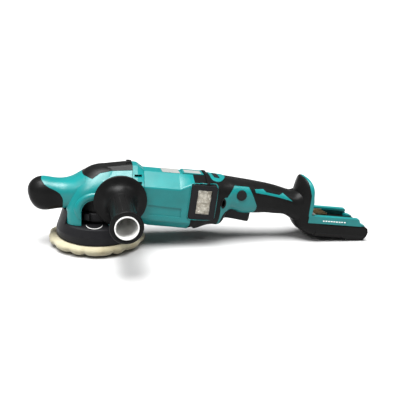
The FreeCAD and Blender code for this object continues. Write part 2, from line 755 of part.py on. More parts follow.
def skirt_form(gap):
    """The skirt and the raised wall under the nose, grown by a gap."""
    wall, top = float(d.skirt_wall), float(d.skirt_top)
    radius, low = float(d.skirt_radius), float(d.skirt_bottom)
    band = [(30.8 - gap, top - 3), (53.4, top - 3), (radius - wall - 0.4, 27),
            (radius - wall, low), (radius + gap, low), (radius - 0.4 + gap, 27),
            (radius - 4.3 + gap, 38), (radius - 7 + gap, top + gap), (30.8 - gap, top + gap)]
    front = [(radius - 4.3 + gap, 37.8), (51.5 + gap, 57 + gap), (48.7 - gap, 57 + gap),
             (radius - 8.0 - gap, 37.8)]
    turn = math.degrees(gap / radius)
    return spun(band, 0, FULL_TURN).fuse(spun(front, 149 - turn, 62 + 2 * turn))


def build_skirt():
    """Skirt round the pad, with the raised wall under the nose."""
    freeform("skirt", largest_solid(skirt_form(0.0).removeSplitter()))


def build_mode_ring():
    """Ring that switches between free and forced rotation, with its finger tab."""
    inner = d.neck_radius + 0.8
    ring = turned("mode_ring_band", [
        (inner, d.ring_bottom), (d.ring_radius - 1.0, d.ring_bottom),
        (d.ring_radius, d.ring_bottom + 1.5), (d.ring_radius, d.ring_top - 1.5),
        (d.ring_radius - 1.0, d.ring_top), (inner, d.ring_top),
    ])
    tab = box("mode_ring_tab", 5.5, 8.0, 9.0, Placement(
        Vector(0, 0, 0), Rotation(Vector(0, 0, 1), 242)) * Placement(
        Vector(float(d.ring_radius) - 1.2, -4.0, float(d.ring_bottom) + 3.5), Rotation()))
    keep(fuse("mode_ring_solid", [ring, tab]), "mode_change_ring")


# ---------------------------------------------------------------- side grip
def build_side_grip():
    """Rubber sleeve with hand guard, core tube and threaded stud."""
    outwards = Placement(Vector(float(d.grip_station), 0, float(d.grip_height)),
                         Rotation(Vector(1, 0, 0), 90))
    core = d.core_radius + d.seat_gap
    face, end, tube = d.grip_inner_face, d.grip_end, d.grip_tube_radius
    keep(turned("grip_guard", [
        (core, face), (d.guard_radius - 2.0, face), (d.guard_radius, face + 1.6),
        (d.guard_radius - 0.4, face + 3.4), (d.guard_radius - 7.0, face + 4.6),
        (27.0, face + 7.0), (22.5, face + 10.5), (19.5, face + 15.5), (tube + 0.5, face + 22.0),
        (core, face + 22.0),
    ], outwards), "grip_guard")
    keep(turned("grip_sleeve", [
        (core, face + 22.0), (tube + 0.5, face + 22.0), (tube, face + 32.0),
        (tube, end - 16.0), (tube + 0.8, end - 9.0),
        (d.grip_flange_radius - 1.0, end - 4.0), (d.grip_flange_radius, end - 2.0),
        (d.grip_flange_radius - 0.8, end), (core, end),
    ], outwards), "grip_sleeve")
    stud = d.stud_radius - d.seat_gap
    hollow_start = d.grip_inner_face + 20.0
    keep(turned("grip_core", [
        (stud + d.seat_gap, face), (d.core_radius, face), (d.core_radius, end + 1.2),
        (d.core_bore, end + 1.2), (d.core_bore, hollow_start),
        (stud + d.seat_gap, hollow_start),
    ], outwards), "grip_core")
    keep(turned("grip_stud", [
        (0, 30.5), (stud - 0.8, 30.5), (stud, 31.5), (stud, hollow_start + 1.0),
        (0, hollow_start + 1.0),
    ], outwards), "grip_stud")


# ---------------------------------------------------------------- motor line
def build_motor():
    """Rotor, stator, fan and bearings on the motor axis."""
    shaft = d.motor_shaft_radius
    running = shaft - d.running_gap
    keep(turned("rotor_shaft", [
        (0, 17.5), (shaft, 17.5), (shaft, 32.5), (running, 32.5), (running, 41.2),
        (shaft, 41.2), (shaft, 117.5), (running, 117.5), (running, 127.0), (0, 127.0),
    ], ALONG_MOTOR), "rotor_shaft")
    hub = shaft + d.seat_gap
    keep(turned("rotor_core", [
        (hub, d.stator_front), (d.rotor_radius, d.stator_front),
        (d.rotor_radius, d.stator_rear), (hub, d.stator_rear),
    ], ALONG_MOTOR), "rotor_core")
    keep(bearing("motor_bearing_front", shaft, Size(13.0, "13.0") - d.seat_gap,
                 Size(33.0, "33.0"), Size(40.8, "40.8"), ALONG_MOTOR), "motor_bearing_front")
    keep(bearing("motor_bearing_rear", shaft, Size(11.0, "11.0") - d.seat_gap,
                 Size(118.0, "118.0"), Size(125.0, "125.0"), ALONG_MOTOR), "motor_bearing_rear")
    slots = 6
    laminations = raw_cylinder(float(d.stator_radius), (float(d.stator_front), 0, 0),
                               (float(d.stator_rear), 0, 0))
    laminations = laminations.cut(raw_cylinder(float(d.stator_bore), (0, 0, 0), (FAR, 0, 0)))
    windows = []
    for k in range(slots):
        window = raw_box((0, -4.5, 17.5), (FAR, 4.5, 25.0))
        window.rotate(Vector(0, 0, 0), Vector(1, 0, 0), FULL_TURN * k / slots)
        windows.append(window)
    freeform("stator", laminations.cut(windows[0].multiFuse(windows[1:])), TOOL_FRAME)
    build_fan()
    baffle = [(31.0, 44.0), (33.6, 44.0), (33.6, 47.5), (24.0, 47.5), (24.0, 45.5), (31.0, 45.5)]
    keep(turned("air_baffle", baffle, ALONG_MOTOR), "air_baffle")


def build_fan():
    """Centrifugal fan: a disc with curved upright blades."""
    front, rear, radius = float(d.fan_front), float(d.fan_rear), float(d.fan_radius)
    hub_bore = float(d.motor_shaft_radius) + float(d.seat_gap)
    disc = raw_cylinder(radius, (rear - 2, 0, 0), (rear, 0, 0))
    hub = raw_cylinder(9.0, (front, 0, 0), (rear, 0, 0))
    blades = []
    count = 12
    for k in range(count):
        blade = raw_box((front + 1, -0.7, 10), (rear - 1, 0.7, radius - 1))
        blade.rotate(Vector(0, 0, 10), Vector(1, 0, 0), 24)
        blade.rotate(Vector(0, 0, 0), Vector(1, 0, 0), FULL_TURN * k / count)
        blades.append(blade)
    limit = raw_cylinder(radius, (front, 0, 0), (rear, 0, 0))
    fan = disc.multiFuse([hub] + blades).common(limit)
    fan = fan.cut(raw_cylinder(hub_bore, (0, 0, 0), (FAR, 0, 0)))
    freeform("cooling_fan", largest_solid(fan), TOOL_FRAME)


HOUSING = [  # station, half width, top, bottom, shoulder
    (61.0, 37.4, 37.8, -39.0, 20.4), (75.0, 38.0, 37.8, -41.8, 20.4),
    (113.0, 38.2, 37.8, -42.4, 20.8), (128.0, 38.4, 38.0, -42.8, 29.2),
    (133.8, 38.4, 38.0, -42.8, 29.2),
]
COLLAR = [(43.6, 36.4, 44.6, -34.8, 20.5), (51.0, 36.8, 44.2, -35.0, 20.5),
          (60.6, 37.2, 38.2, -37.4, 20.5)]
DUST_LOW, DUST_HIGH = (129.2, -22.0), (168.4, 29.6)


def dust_pockets():
    """The openings in both flanks that the dust covers close."""
    gap = float(d.part_gap)
    pockets = []
    for side in (-1, 1):
        low_y, high_y = sorted((side * 33.0, side * 45.0))
        pockets.append(raw_box((DUST_LOW[0] - gap, low_y, DUST_LOW[1] - gap),
                               (DUST_HIGH[0] + gap, high_y, DUST_HIGH[1] + gap)))
        low_y, high_y = sorted((side * 20.0, side * 34.0))
        pockets.append(raw_box((137.5, low_y, -16.0), (162.0, high_y, 23.5)))
    return pockets


def build_motor_housing():
    """Motor housing, vented collar, label."""
    bore = float(d.motor_bore)
    housing = lofted_housing(HOUSING)
    hollow = raw_cylinder(bore, (50, 0, 0), (115, 0, 0)).multiFuse([
        raw_cylinder(bore, (127.5, 0, 0), (140, 0, 0)),
        raw_cylinder(11.0, (117.8, 0, 0), (130, 0, 0)),
        raw_cylinder(8.0, (110, 0, 0), (130, 0, 0))])
    ribs = []
    for k in range(8):
        rib = raw_box((float(d.stator_front), -1.5, float(d.stator_radius) + 0.05),
                      (115, 1.5, bore + 1))
        rib.rotate(Vector(0, 0, 0), Vector(1, 0, 0), FULL_TURN * (k + 0.5) / 8)
        ribs.append(rib)
    recesses = [side_prism([(68.5, -6.0), (118.0, -8.0), (118.5, -21.5), (72, -20.5)],
                           *sorted((side * 36.9, side * 45))) for side in (-1, 1)]
    skirt_room = moved(Part.makeCylinder(float(d.skirt_radius) + 0.4, 40), TOOL_FRAME.inverse())
    housing = housing.cut(hollow.multiFuse(recesses + dust_pockets())).multiFuse(ribs)
    housing = housing.cut(skirt_room)
    freeform("motor_housing", largest_solid(housing.removeSplitter()), TOOL_FRAME)
    collar = lofted_housing(COLLAR).cut(raw_cylinder(33.8, (30, 0, 0), (70, 0, 0)))
    slots = []
    for side in (-1, 1):
        for height in (30.0, 22.0, 14.0, 6.0):
            low_y, high_y = sorted((side * 15.0, side * 45.0))
            slots.append(raw_box((46.5, low_y, height), (57.5, high_y, height + 3.2)))
    collar = collar.cut(slots[0].multiFuse(slots[1:] + [skirt_room]))
    freeform("vent_collar", largest_solid(collar), TOOL_FRAME)
    keep(box("rating_label", 26.6, 23.2, 0.4,
             TOOL_FRAME * Placement(Vector(88.0, -11.6, 37.82), Rotation())), "rating_label")


# ---------------------------------------------------------------- handle and foot
HANDLE = [  # station, half width, top, bottom, power
    (134.2, 38.2, 38.0, -42.6, 4.4), (142.0, 38.2, 38.2, -42.8, 4.2),
    (150.0, 37.6, 38.2, -41.6, 4.0), (158.0, 36.8, 37.6, -38.6, 3.7),
    (166.0, 35.6, 36.4, -36.8, 3.4), (176.0, 33.8, 36.0, -36.8, 3.2),
    (182.0, 32.2, 36.2, -36.6, 3.0), (186.0, 31.0, 36.2, -33.4, 3.0),
    (190.0, 30.2, 36.0, -22.0, 2.9), (195.0, 29.6, 35.6, -13.0, 2.9),
    (210.0, 28.2, 34.6, -14.0, 2.9), (226.0, 26.2, 33.8, -15.8, 2.8),
    (238.0, 24.2, 33.0, -15.4, 2.7), (252.0, 22.4, 31.8, -14.4, 2.6),
    (266.0, 21.8, 30.0, -14.2, 2.5), (279.0, 22.2, 27.4, -14.0, 2.5),
    (290.0, 23.6, 24.8, -14.8, 2.5), (303.0, 25.6, 25.4, -21.0, 2.5),
    (316.0, 26.2, 26.0, -24.0, 2.5),
]
ROOF = [  # station, height over the crown's edge, height over the flank
    (130.0, 38.2, 29.2), (152.0, 38.2, 29.4), (166.0, 36.6, 29.0), (178.0, 36.4, 29.4),
    (206.0, 37.4, 34.0),
]
CROWN_HALF, FLANK_HALF = 11.5, 39.0
STRAP_CENTRE, STRAP_OUTER, STRAP_INNER = (181.2, 3.4), (3.9, 7.4), (2.2, 5.2)
TRIGGER_PIVOT = (192.5, -6.5)
REAR = [  # level, front, rear, half width, power of the front's curve
    (-39.2, 327.0, 352.0, 27.0, 2.2), (-36.0, 317.0, 352.0, 29.4, 2.2),
    (-26.0, 307.0, 352.0, 30.8, 2.1), (-12.0, 301.5, 352.0, 31.0, 2.0),
    (2.0, 300.4, 342.0, 31.0, 1.9), (16.0, 301.0, 328.5, 30.6, 1.8),
    (28.0, 302.2, 326.4, 29.6, 1.7), (37.0, 303.2, 324.6, 27.0, 1.65),
    (44.0, 304.6, 321.0, 21.2, 1.65), (48.4, 307.0, 314.0, 9.0, 1.8),
]
TEAL_EDGE = [(309.0, 60.0), (310.0, 51.0), (314.4, 44.2), (320.0, 25.2), (321.2, -2.2),
             (321.6, -8.0), (335.0, -18.02), (400.0, -18.02), (400.0, 60.0)]
FOOT = [(338.0, -18.02), (338.0, -39.1), (386.0, -39.2), (391.0, -41.0),
        (398.0, -47.0), (419.0, -47.0), (425.6, -36.0), (427.5, -27.0), (425.4, -21.0),
        (421.0, -18.02)]
PANEL_EDGE = [(196.5, 29.9), (220.0, 28.8), (226.4, 19.4), (236.7, 0.7), (237.0, -4.5),
              (235.4, -9.6), (228.0, -20.0), (198.0, -20.0), (193.2, -8.2), (187.0, -10.2),
              (183.4, -16.0), (181.8, -24.0), (181.2, -40.0), (177.9, -40.0), (178.6, -18.0),
              (178.6, -8.0), (177.4, -3.0), (178.6, 8.5), (183.0, 11.8), (187.0, 12.2)]
STRIPE_EDGE = [(229.8, 26.3), (244.4, 26.8), (249.3, 22.6), (271.3, 19.8), (277.2, 23.0),
               (293.4, 12.4), (268.0, 16.6), (232.0, 21.2)]


def handle_form(inset):
    """The handle's outside, drawn in by inset: smooth ovals under a roof with two slopes."""
    form = lofted_ovals(HANDLE, inset)
    for side in (-1, 1):
        wires = []
        for station, over_crown, over_flank in ROOF:
            fall = (over_flank - over_crown) / (FLANK_HALF - CROWN_HALF)
            inner, outer = CROWN_HALF - 30.0, FLANK_HALF + 20.0
            corners = [(inner, over_crown - 30.0 * fall), (outer, over_crown + fall * (
                outer - CROWN_HALF)), (outer, 90.0), (inner, 90.0)]
            points = [Vector(station, side * y, z - inset) for y, z in corners]
            wires.append(Part.makePolygon(points + points[:1]))
        form = form.cut(Part.makeLoft(wires, True, True))
    return form


def upright_oval(centre, radii, low_y, high_y):
    """An oval prism across the handle, given its centre and half sizes in the side view."""
    count = 16
    points = [Vector(centre[0] + radii[0] * math.cos(2 * math.pi * i / count), low_y,
                     centre[1] + radii[1] * math.sin(2 * math.pi * i / count))
              for i in range(count)]
    curve = Part.BSplineCurve()
    curve.interpolate(Points=points, PeriodicFlag=True)
    face = Part.Face(Part.Wire(curve.toShape()))
    return face.extrude(Vector(0, high_y - low_y, 0))


def foot_form():
    """Battery foot: side outline rounded in section, standing flat on the ground."""
    half = float(d.foot_width) / 2
    low, high = -49.0, -18.02
    corners = [Vector(300, y, z) for y, z in
               ((-half + 6, low), (half - 6, low), (half, low + 16), (half, high),
                (-half, high), (-half, low + 16))]
    section = Part.Face(rounded_polygon(corners, 2.5)).extrude(Vector(140, 0, 0))
    outline = side_prism(FOOT, -half, half)
    ground = moved(raw_box((-FAR, -FAR, -FAR), (FAR, FAR, 0)), TOOL_FRAME.inverse())
    return outline.common(section).cut(ground)


def build_handle():
    """Both handle halves, teal panels and stripes, and the battery frame."""
    wall, skin = float(d.wall), 1.6
    battery_wall = float(d.battery_wall)
    grip_outer, grip_inner, grip_skin = [handle_form(inset) for inset in (0.0, wall, skin)]
    behind_wall = raw_box((battery_wall, -FAR, -18.02), (FAR, FAR, FAR))
    block = lofted_block(REAR).cut(behind_wall)
    block_hollow = lofted_block(REAR, wall).cut(
        raw_box((battery_wall - wall, -FAR, -FAR), (FAR, FAR, FAR)))
    teal = side_prism(TEAL_EDGE, -FAR, FAR)
    panels = [grip_outer.cut(grip_skin).common(side_prism(PANEL_EDGE, *span))
              for span in ((-FAR, 0), (0, FAR))]
    stripes = [grip_outer.cut(grip_skin).common(side_prism(STRIPE_EDGE, *span))
               for span in ((-FAR, 0), (0, FAR))]
    width = float(d.trigger_width) / 2 + 0.6
    trigger_slot = raw_box((186.0, -width, -60), (235.4, width, -1.0))
    lugs, strap_holes = [], []
    for side in (-1, 1):
        low_y, high_y = sorted((side * 27.0, side * 34.2))
        lugs.append(upright_oval(STRAP_CENTRE, STRAP_OUTER, low_y, high_y))
        low_y, high_y = sorted((side * 20.0, side * 36.0))
        strap_holes.append(upright_oval(STRAP_CENTRE, STRAP_INNER, low_y, high_y))
    tools = dust_pockets() + [
        grip_inner, block_hollow,
        trigger_slot,
        raw_box((166.6, -13.5, 18), (175.4, 13.5, 60)),
        raw_cylinder(float(d.button_radius) + 0.35, (208.9, -60, 16.4), (208.9, -10, 16.4)),
    ]
    shell = grip_outer.fuse(block.cut(teal))
    shell = shell.cut(tools[0].multiFuse(tools[1:]))
    station, height = TRIGGER_PIVOT
    pivots = [raw_cylinder(4.0, (station, side * (width + 0.4), height),
                           (station, side * 30.0, height)).common(grip_skin)
              for side in (-1, 1)]
    shell = shell.multiFuse(pivots + lugs + [foot_form()])
    pin_bore = raw_cylinder(float(d.trigger_pin_radius) + float(d.seat_gap),
                            (station, -20, height), (station, 20, height))
    panels = [panel.cut(trigger_slot).cut(lug) for panel, lug in zip(panels, lugs)]
    shell = shell.cut(pin_bore.multiFuse(panels + stripes + strap_holes + [screw_holes()]))
    for name, span in (("handle_left", (-FAR, 0)), ("handle_right", (0, FAR))):
        half = shell.common(raw_box((0, span[0], -FAR), (FAR, span[1], FAR)))
        freeform(name, largest_solid(half), TOOL_FRAME)
    button_hole = raw_cylinder(float(d.button_radius) + 0.35, (208.9, -60, 16.4),
                               (208.9, -10, 16.4))
    freeform("side_panel_left", largest_solid(panels[0].cut(button_hole)), TOOL_FRAME)
    freeform("side_panel_right", largest_solid(panels[1]), TOOL_FRAME)
    freeform("accent_stripes", Part.makeCompound([largest_solid(s) for s in stripes]), TOOL_FRAME)
    black_block = block.cut(teal)
    build_battery_frame(block.common(teal).cut(block_hollow).cut(grip_outer), black_block)


def screw_holes():
    """Clearance for the handle screws, which enter from the right."""
    holes = [raw_cylinder(3.6, (x, 10, z), (x, 60, z)) for x, z, _ in SCREWS]
    return holes[0].multiFuse(holes[1:])


SCREWS = [  # station, height, depth of the right half's surface
    (146.0, -26.2, 36.0), (175.0, -22.0, 31.0), (182.0, 26.6, 27.0), (244.0, -1.5, 21.6),
    (286.0, -3.0, 21.6), (326.0, -30.0, 35.0), (352.0, -28.0, 35.0), (405.0, -28.0, 35.0),
]


def build_battery_frame(wall_trim, black_block):
    """Teal wall trim with the two rails that the battery slides on, clear of the black block."""
    half, deck, top = float(d.foot_width) / 2, float(d.foot_deck), float(d.rail_top)
    rail_outline = [(322.5, deck), (322.5, top), (407.5, top), (412.8, deck + 2), (413.8, deck)]
    lip_outline = [(333.0, top - 3.6), (333.0, top), (407.5, top), (409.0, top - 3.6)]
    pieces = [wall_trim]
    for side in (-1, 1):
        pieces.append(side_prism(rail_outline, *sorted((side * (half - 4.2), side * half))))
        pieces.append(side_prism(lip_outline, *sorted((side * (half - 9.0), side * (half - 3.0)))))
    stop = raw_box((320.0, -half + 3, deck), (329.0, half - 3, deck + 6))
    nub_outline = [(406.0, deck), (406.0, -14.0), (415.5, -15.2), (420.0, -16.2), (420.9, deck)]
    for side in (-1, 1):
        pieces.append(side_prism(nub_outline, *sorted((side * (half - 12.0), side * (half - 2.0)))))
    frame = pieces[0].multiFuse(pieces[1:] + [stop]).cut(black_block)
    freeform("battery_frame", largest_solid(frame), TOOL_FRAME)


def build_battery_contacts():
    """Terminal block and the blades that reach the battery."""
    deck = float(d.foot_deck)
    block = raw_box((329.2, -17, deck), (354.0, 17, deck + 5.5))
    tower = raw_box((329.2, -15, deck), (340.0, 15, deck + 9.5))
    freeform("terminal_block", block.fuse(tower).removeSplitter(), TOOL_FRAME)
    blades = []
    for y in (-11.0, -3.6, 3.6, 11.0):
        blades.append(raw_box((340.1, y - 0.5, deck + 5.6), (360.0, y + 0.5, deck + 12.0)))
    freeform("battery_contacts", Part.makeCompound(blades), TOOL_FRAME)


def build_controls():
    """Trigger, pin, lock button, speed dial, switch, controller and leads."""
    pivot = TRIGGER_PIVOT
    keep(padded("trigger", [
        (190.5, -14.0), (190.2, -24.4), (191.6, -27.6), (194.6, -26.6), (198.0, -26.4),
        (211.0, -27.6), (227.5, -29.8), (231.2, -29.6), (232.6, -27.0), (233.2, -14.5),
        (233.2, -9.0), (199.0, -9.0), (197.0, -3.2), (187.6, -3.2), (187.6, -10.0),
    ], d.trigger_width, TOOL_FRAME, [(pivot[0], pivot[1], d.trigger_pin_radius + 0.08)]),
        "trigger")
    keep(cylinder("trigger_pin", d.trigger_pin_radius, d.trigger_width + 14.0,
                  TOOL_FRAME * Placement(
                      Vector(pivot[0], float(d.trigger_width) / 2 + 7.0, pivot[1]),
                      Rotation(Vector(1, 0, 0), 90))), "trigger_pin")
    keep(cylinder("lock_button", d.button_radius, 9.0, TOOL_FRAME * Placement(
        Vector(208.9, -20.6, 16.4), Rotation(Vector(1, 0, 0), 90))), "lock_button")
    teeth = 24
    axis = float(d.dial_height)
    wheel = raw_cylinder(float(d.dial_radius), (167.5, 0, axis),
                         (167.5 + float(d.dial_width), 0, axis))
    notches = []
    for k in range(teeth):
        crest = axis + float(d.dial_radius) + 0.3
        notch = raw_cylinder(0.9, (166, 0, crest), (176, 0, crest))
        notch.rotate(Vector(0, 0, axis), Vector(1, 0, 0), FULL_TURN * k / teeth)
        notches.append(notch)
    freeform("speed_dial", wheel.cut(notches[0].multiFuse(notches[1:])), TOOL_FRAME)
    keep(box("switch_body", 32.0, 18.0, 20.0,
             TOOL_FRAME * Placement(Vector(196.0, -9.0, -0.6), Rotation())), "switch_body")
    keep(box("controller", 24.0, 32.0, 42.0,
             TOOL_FRAME * Placement(Vector(138.0, -16.0, -22.0), Rotation())), "controller")
    leads = [raw_cylinder(1.8, (229.0, y, 8.0), (322.0, y, 8.0)) for y in (-4.0, 4.0)]
    freeform("power_leads", Part.makeCompound(leads), TOOL_FRAME)
    screws = []
    for x, z, depth in SCREWS:
        head = raw_cylinder(3.4, (x, depth - 3.0, z), (x, depth - 0.6, z))
        socket = raw_box((x - 1.1, depth - 1.8, z - 1.1), (x + 1.1, depth, z + 1.1))
        shank = raw_cylinder(1.6, (x, 12.0, z), (x, depth - 2.5, z))
        screws.append(head.cut(socket).fuse(shank))
    freeform("handle_screws", Part.makeCompound(screws), TOOL_FRAME)


def build_top_details():
    """Display frame and window, soft rib and dial bezel on top of the housing."""
    top = 38.22
    frame = side_prism([(118.4, top), (119.2, top + 1.3), (150.2, top + 1.3), (151.2, top)],
                       -12, 12)
    opening = raw_box((121.4, -9.2, top - 1), (147.6, 9.2, top + 3))
    handle = handle_form(0.0)
    window = raw_box((121.5, -9.1, top), (147.5, 9.1, top + 0.9))
    freeform("display_frame", frame.cut(opening).cut(handle), TOOL_FRAME)
    freeform("display_window", window.cut(handle), TOOL_FRAME)
    ridge = handle_form(-2.6).common(raw_box((152.0, -60, 30.1), (156.2, 60, 60))).cut(handle)
    freeform("soft_rib", largest_solid(ridge), TOOL_FRAME)
    outline = [(160.4, 0.0), (160.4, 14.0), (163.4, 21.6), (170.6, 24.0), (177.2, 19.6),
               (183.2, 9.6), (185.2, 0.0)]
    outline += [(x, -y) for x, y in reversed(outline[1:-1])]
    rim = Part.BSplineCurve()
    rim.interpolate(Points=[Vector(x, y, 15.0) for x, y in outline], PeriodicFlag=True)
    island = Part.Face(Part.Wire(rim.toShape())).extrude(Vector(0, 0, 40))
    bezel = handle_form(-1.0).common(island).cut(handle)
    bezel = bezel.cut(raw_box((166.6, -13.5, 18), (175.4, 13.5, 60)))
    freeform("dial_bezel", largest_solid(bezel), TOOL_FRAME)


def build_dust_covers():
    """Snap-in dust covers with their mesh screens, one in each flank."""
    for side, label in ((-1, "left"), (1, "right")):
        inner, outer = side * 34.2, side * 39.4
        low_y, high_y = sorted((inner, outer))
        plate = raw_box((DUST_LOW[0], low_y, DUST_LOW[1]), (DUST_HIGH[0], high_y, DUST_HIGH[1]))
        upright = [edge for edge in plate.Edges
                   if abs(edge.tangentAt(edge.FirstParameter).y) > 0.99]
        plate = plate.makeFillet(4.0, upright)
        window = raw_box((139.4, -50, -14.6), (160.4, 50, 22.4))
        freeform("dust_cover_" + label, plate.cut(window), TOOL_FRAME)
        low_y, high_y = sorted((side * 36.4, side * 37.4))
        freeform("dust_screen_" + label,
                 raw_box((139.45, low_y, -14.55), (160.35, high_y, 22.35)), TOOL_FRAME)


# ---------------------------------------------------------------- build and export
build_pad()
build_orbit_drive()
build_spindle()
build_gear_housing()
build_head()
build_skirt()
build_mode_ring()
build_side_grip()
build_motor()
build_motor_housing()
build_handle()
build_battery_contacts()
build_controls()
build_top_details()
build_dust_covers()
doc.recompute()

for item in doc.Objects:
    if "Invalid" in item.State or "Error" in item.State:
        raise RuntimeError("%s failed to build: %s" % (item.Name, item.State))

os.makedirs("parts", exist_ok=True)
for node in nodes:
    shape = node.Shape
    if shape.isNull() or not shape.isValid() or not shape.Solids:
        raise RuntimeError("%s has no valid solid" % node.Label)
    shape.exportStep("parts/%s.step" % node.Label)
    print("%-24s %9.0f mm3, %d solid(s)" % (node.Label, shape.Volume, len(shape.Solids)))
print("%d nodes" % len(nodes))
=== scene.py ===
"""Looks of the dual action polisher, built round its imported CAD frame, in metres."""
import json
import math

import bmesh
import bpy
from mathutils import Matrix, Vector, noise
from mathutils.bvhtree import BVHTree


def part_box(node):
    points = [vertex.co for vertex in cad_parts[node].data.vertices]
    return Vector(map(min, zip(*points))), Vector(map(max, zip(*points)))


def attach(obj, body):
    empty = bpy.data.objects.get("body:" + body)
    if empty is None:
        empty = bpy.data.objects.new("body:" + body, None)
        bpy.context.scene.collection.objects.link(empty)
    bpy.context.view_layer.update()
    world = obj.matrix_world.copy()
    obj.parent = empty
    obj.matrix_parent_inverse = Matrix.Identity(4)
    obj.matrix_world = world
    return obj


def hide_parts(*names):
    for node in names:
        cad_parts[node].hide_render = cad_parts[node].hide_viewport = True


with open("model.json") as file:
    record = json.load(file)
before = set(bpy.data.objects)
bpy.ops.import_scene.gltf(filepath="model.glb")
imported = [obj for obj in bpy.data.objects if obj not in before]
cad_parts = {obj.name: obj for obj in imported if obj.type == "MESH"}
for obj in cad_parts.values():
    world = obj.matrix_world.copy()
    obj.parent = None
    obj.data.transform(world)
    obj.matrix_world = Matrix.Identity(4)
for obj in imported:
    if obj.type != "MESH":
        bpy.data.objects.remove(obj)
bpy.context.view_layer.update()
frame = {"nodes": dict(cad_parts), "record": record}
nodes = frame["nodes"]

# ---------------------------------------------------------------- the tool's own frame
# The motor's axis crosses the spindle's at AXIS_HEIGHT metres and dips towards the battery end.
# Stations and heights in mm are measured along that axis and square to it.
MM = 0.001
AXIS_HEIGHT = 0.081
AXIS_PITCH = math.radians(5.3)
TOOL = Matrix.Translation((0, 0, AXIS_HEIGHT)) @ Matrix.Rotation(AXIS_PITCH, 4, "Y")


# ---------------------------------------------------------------- camera, light, floor
def add_camera():
    """Camera on the side grip's side, slightly behind the head and above."""
    azimuth, elevation, roll = math.radians(12.53), math.radians(17.74), math.radians(3.22)
    target, distance = Vector((0.1523, 0, 0.0628)), 0.8854
    back = Vector((-math.sin(azimuth) * math.cos(elevation),
                   -math.cos(azimuth) * math.cos(elevation), math.sin(elevation)))
    level = Vector((math.cos(azimuth), -math.sin(azimuth), 0))
    upright = back.cross(level)
    right = level * math.cos(roll) + upright * math.sin(roll)
    up = upright * math.cos(roll) - level * math.sin(roll)
    data = bpy.data.cameras.new("camera")
    data.sensor_width, data.lens = 36.0, 52.14
    camera = bpy.data.objects.new("camera", data)
    bpy.context.scene.collection.objects.link(camera)
    camera.matrix_world = Matrix.Translation(target + back * distance) @ Matrix(
        (right, up, back)).transposed().to_4x4()
    bpy.context.scene.camera = camera


def add_light(name, place, aim, size, power):
    """A round soft lamp aimed at a point."""
    data = bpy.data.lights.new(name, "AREA")
    data.shape, data.size, data.energy = "DISK", size, power
    light = bpy.data.objects.new(name, data)
    bpy.context.scene.collection.objects.link(light)
    light.location = place
    light.rotation_mode = "QUATERNION"
    light.rotation_quaternion = (Vector(aim) - Vector(place)).to_track_quat("-Z", "Y")


SURROUND_AS_LIGHT, SURROUND_AS_SEEN = 0.16, 1.2
FLOOR_REACH, FLOOR_DROP, FLOOR_GREY = 40.0, 0.0002, 0.46


def add_surround():
    """White surround, dim as a light and bright where the camera sees it."""
    world = bpy.data.worlds.new("studio")
    world.use_nodes = True
    tree = world.node_tree
    lit, seen = tree.nodes["Background"], tree.nodes.new("ShaderNodeBackground")
    for shader, strength in ((lit, SURROUND_AS_LIGHT), (seen, SURROUND_AS_SEEN)):
        shader.inputs["Color"].default_value = (1, 1, 1, 1)
        shader.inputs["Strength"].default_value = strength
    path, mix = tree.nodes.new("ShaderNodeLightPath"), tree.nodes.new("ShaderNodeMixShader")
    tree.links.new(path.outputs["Is Camera Ray"], mix.inputs[0])
    tree.links.new(lit.outputs[0], mix.inputs[1])
    tree.links.new(seen.outputs[0], mix.inputs[2])
    tree.links.new(mix.outputs[0], tree.nodes["World Output"].inputs["Surface"])
    bpy.context.scene.world = world


def add_lights():
    """A wide overhead sun, and two small soft lamps on the side grip's side."""
    sun = bpy.data.lights.new("overhead", "SUN")
    sun.energy, sun.angle = 8.6, math.radians(44)
    lamp = bpy.data.objects.new("overhead", sun)
    bpy.context.scene.collection.objects.link(lamp)
    lamp.rotation_euler = (math.radians(7), math.radians(-9), 0)
    add_light("key", (-0.45, -0.50, 0.70), (0.02, 0, 0.08), 0.30, 3.0)
    add_light("rear_key", (0.55, -0.35, 0.75), (0.25, 0, 0.08), 0.30, 2.0)


def add_floor():
    """Pale floor just under the tool, far wider than the camera's view."""
    mesh = bpy.data.meshes.new("floor")
    around = ((-1, -1), (1, -1), (1, 1), (-1, 1))
    corners = [(x * FLOOR_REACH, y * FLOOR_REACH, 0) for x, y in around]
    mesh.from_pydata(corners, [], [(0, 1, 2, 3)])
    floor = bpy.data.objects.new("floor", mesh)
    bpy.context.scene.collection.objects.link(floor)
    floor.location.z = -FLOOR_DROP
    paint = bpy.data.materials.new("floor_white")
    paint.use_nodes = True
    shader = paint.node_tree.nodes["Principled BSDF"]
    shader.inputs["Base Color"].default_value = (FLOOR_GREY, FLOOR_GREY, FLOOR_GREY, 1)
    shader.inputs["Roughness"].default_value = 0.9
    shader.inputs["Specular IOR Level"].default_value = 0.1
    mesh.materials.append(paint)


def add_studio():
    """White studio: a surround, soft light from above and a pale floor."""
    bpy.context.scene.view_settings.view_transform = "Standard"
    add_surround()
    add_lights()
    add_floor()


add_camera()
add_studio()


# ---------------------------------------------------------------- materials
# Radii in metres that hard edges are rounded to, and how far a moulded edge is lightened at most,
# in patches: painted edge highlight and wear.
MOULDED_EDGE, METAL_EDGE, EDGE_HIGHLIGHT_AND_SCUFF = 0.0007, 0.0004, 0.35


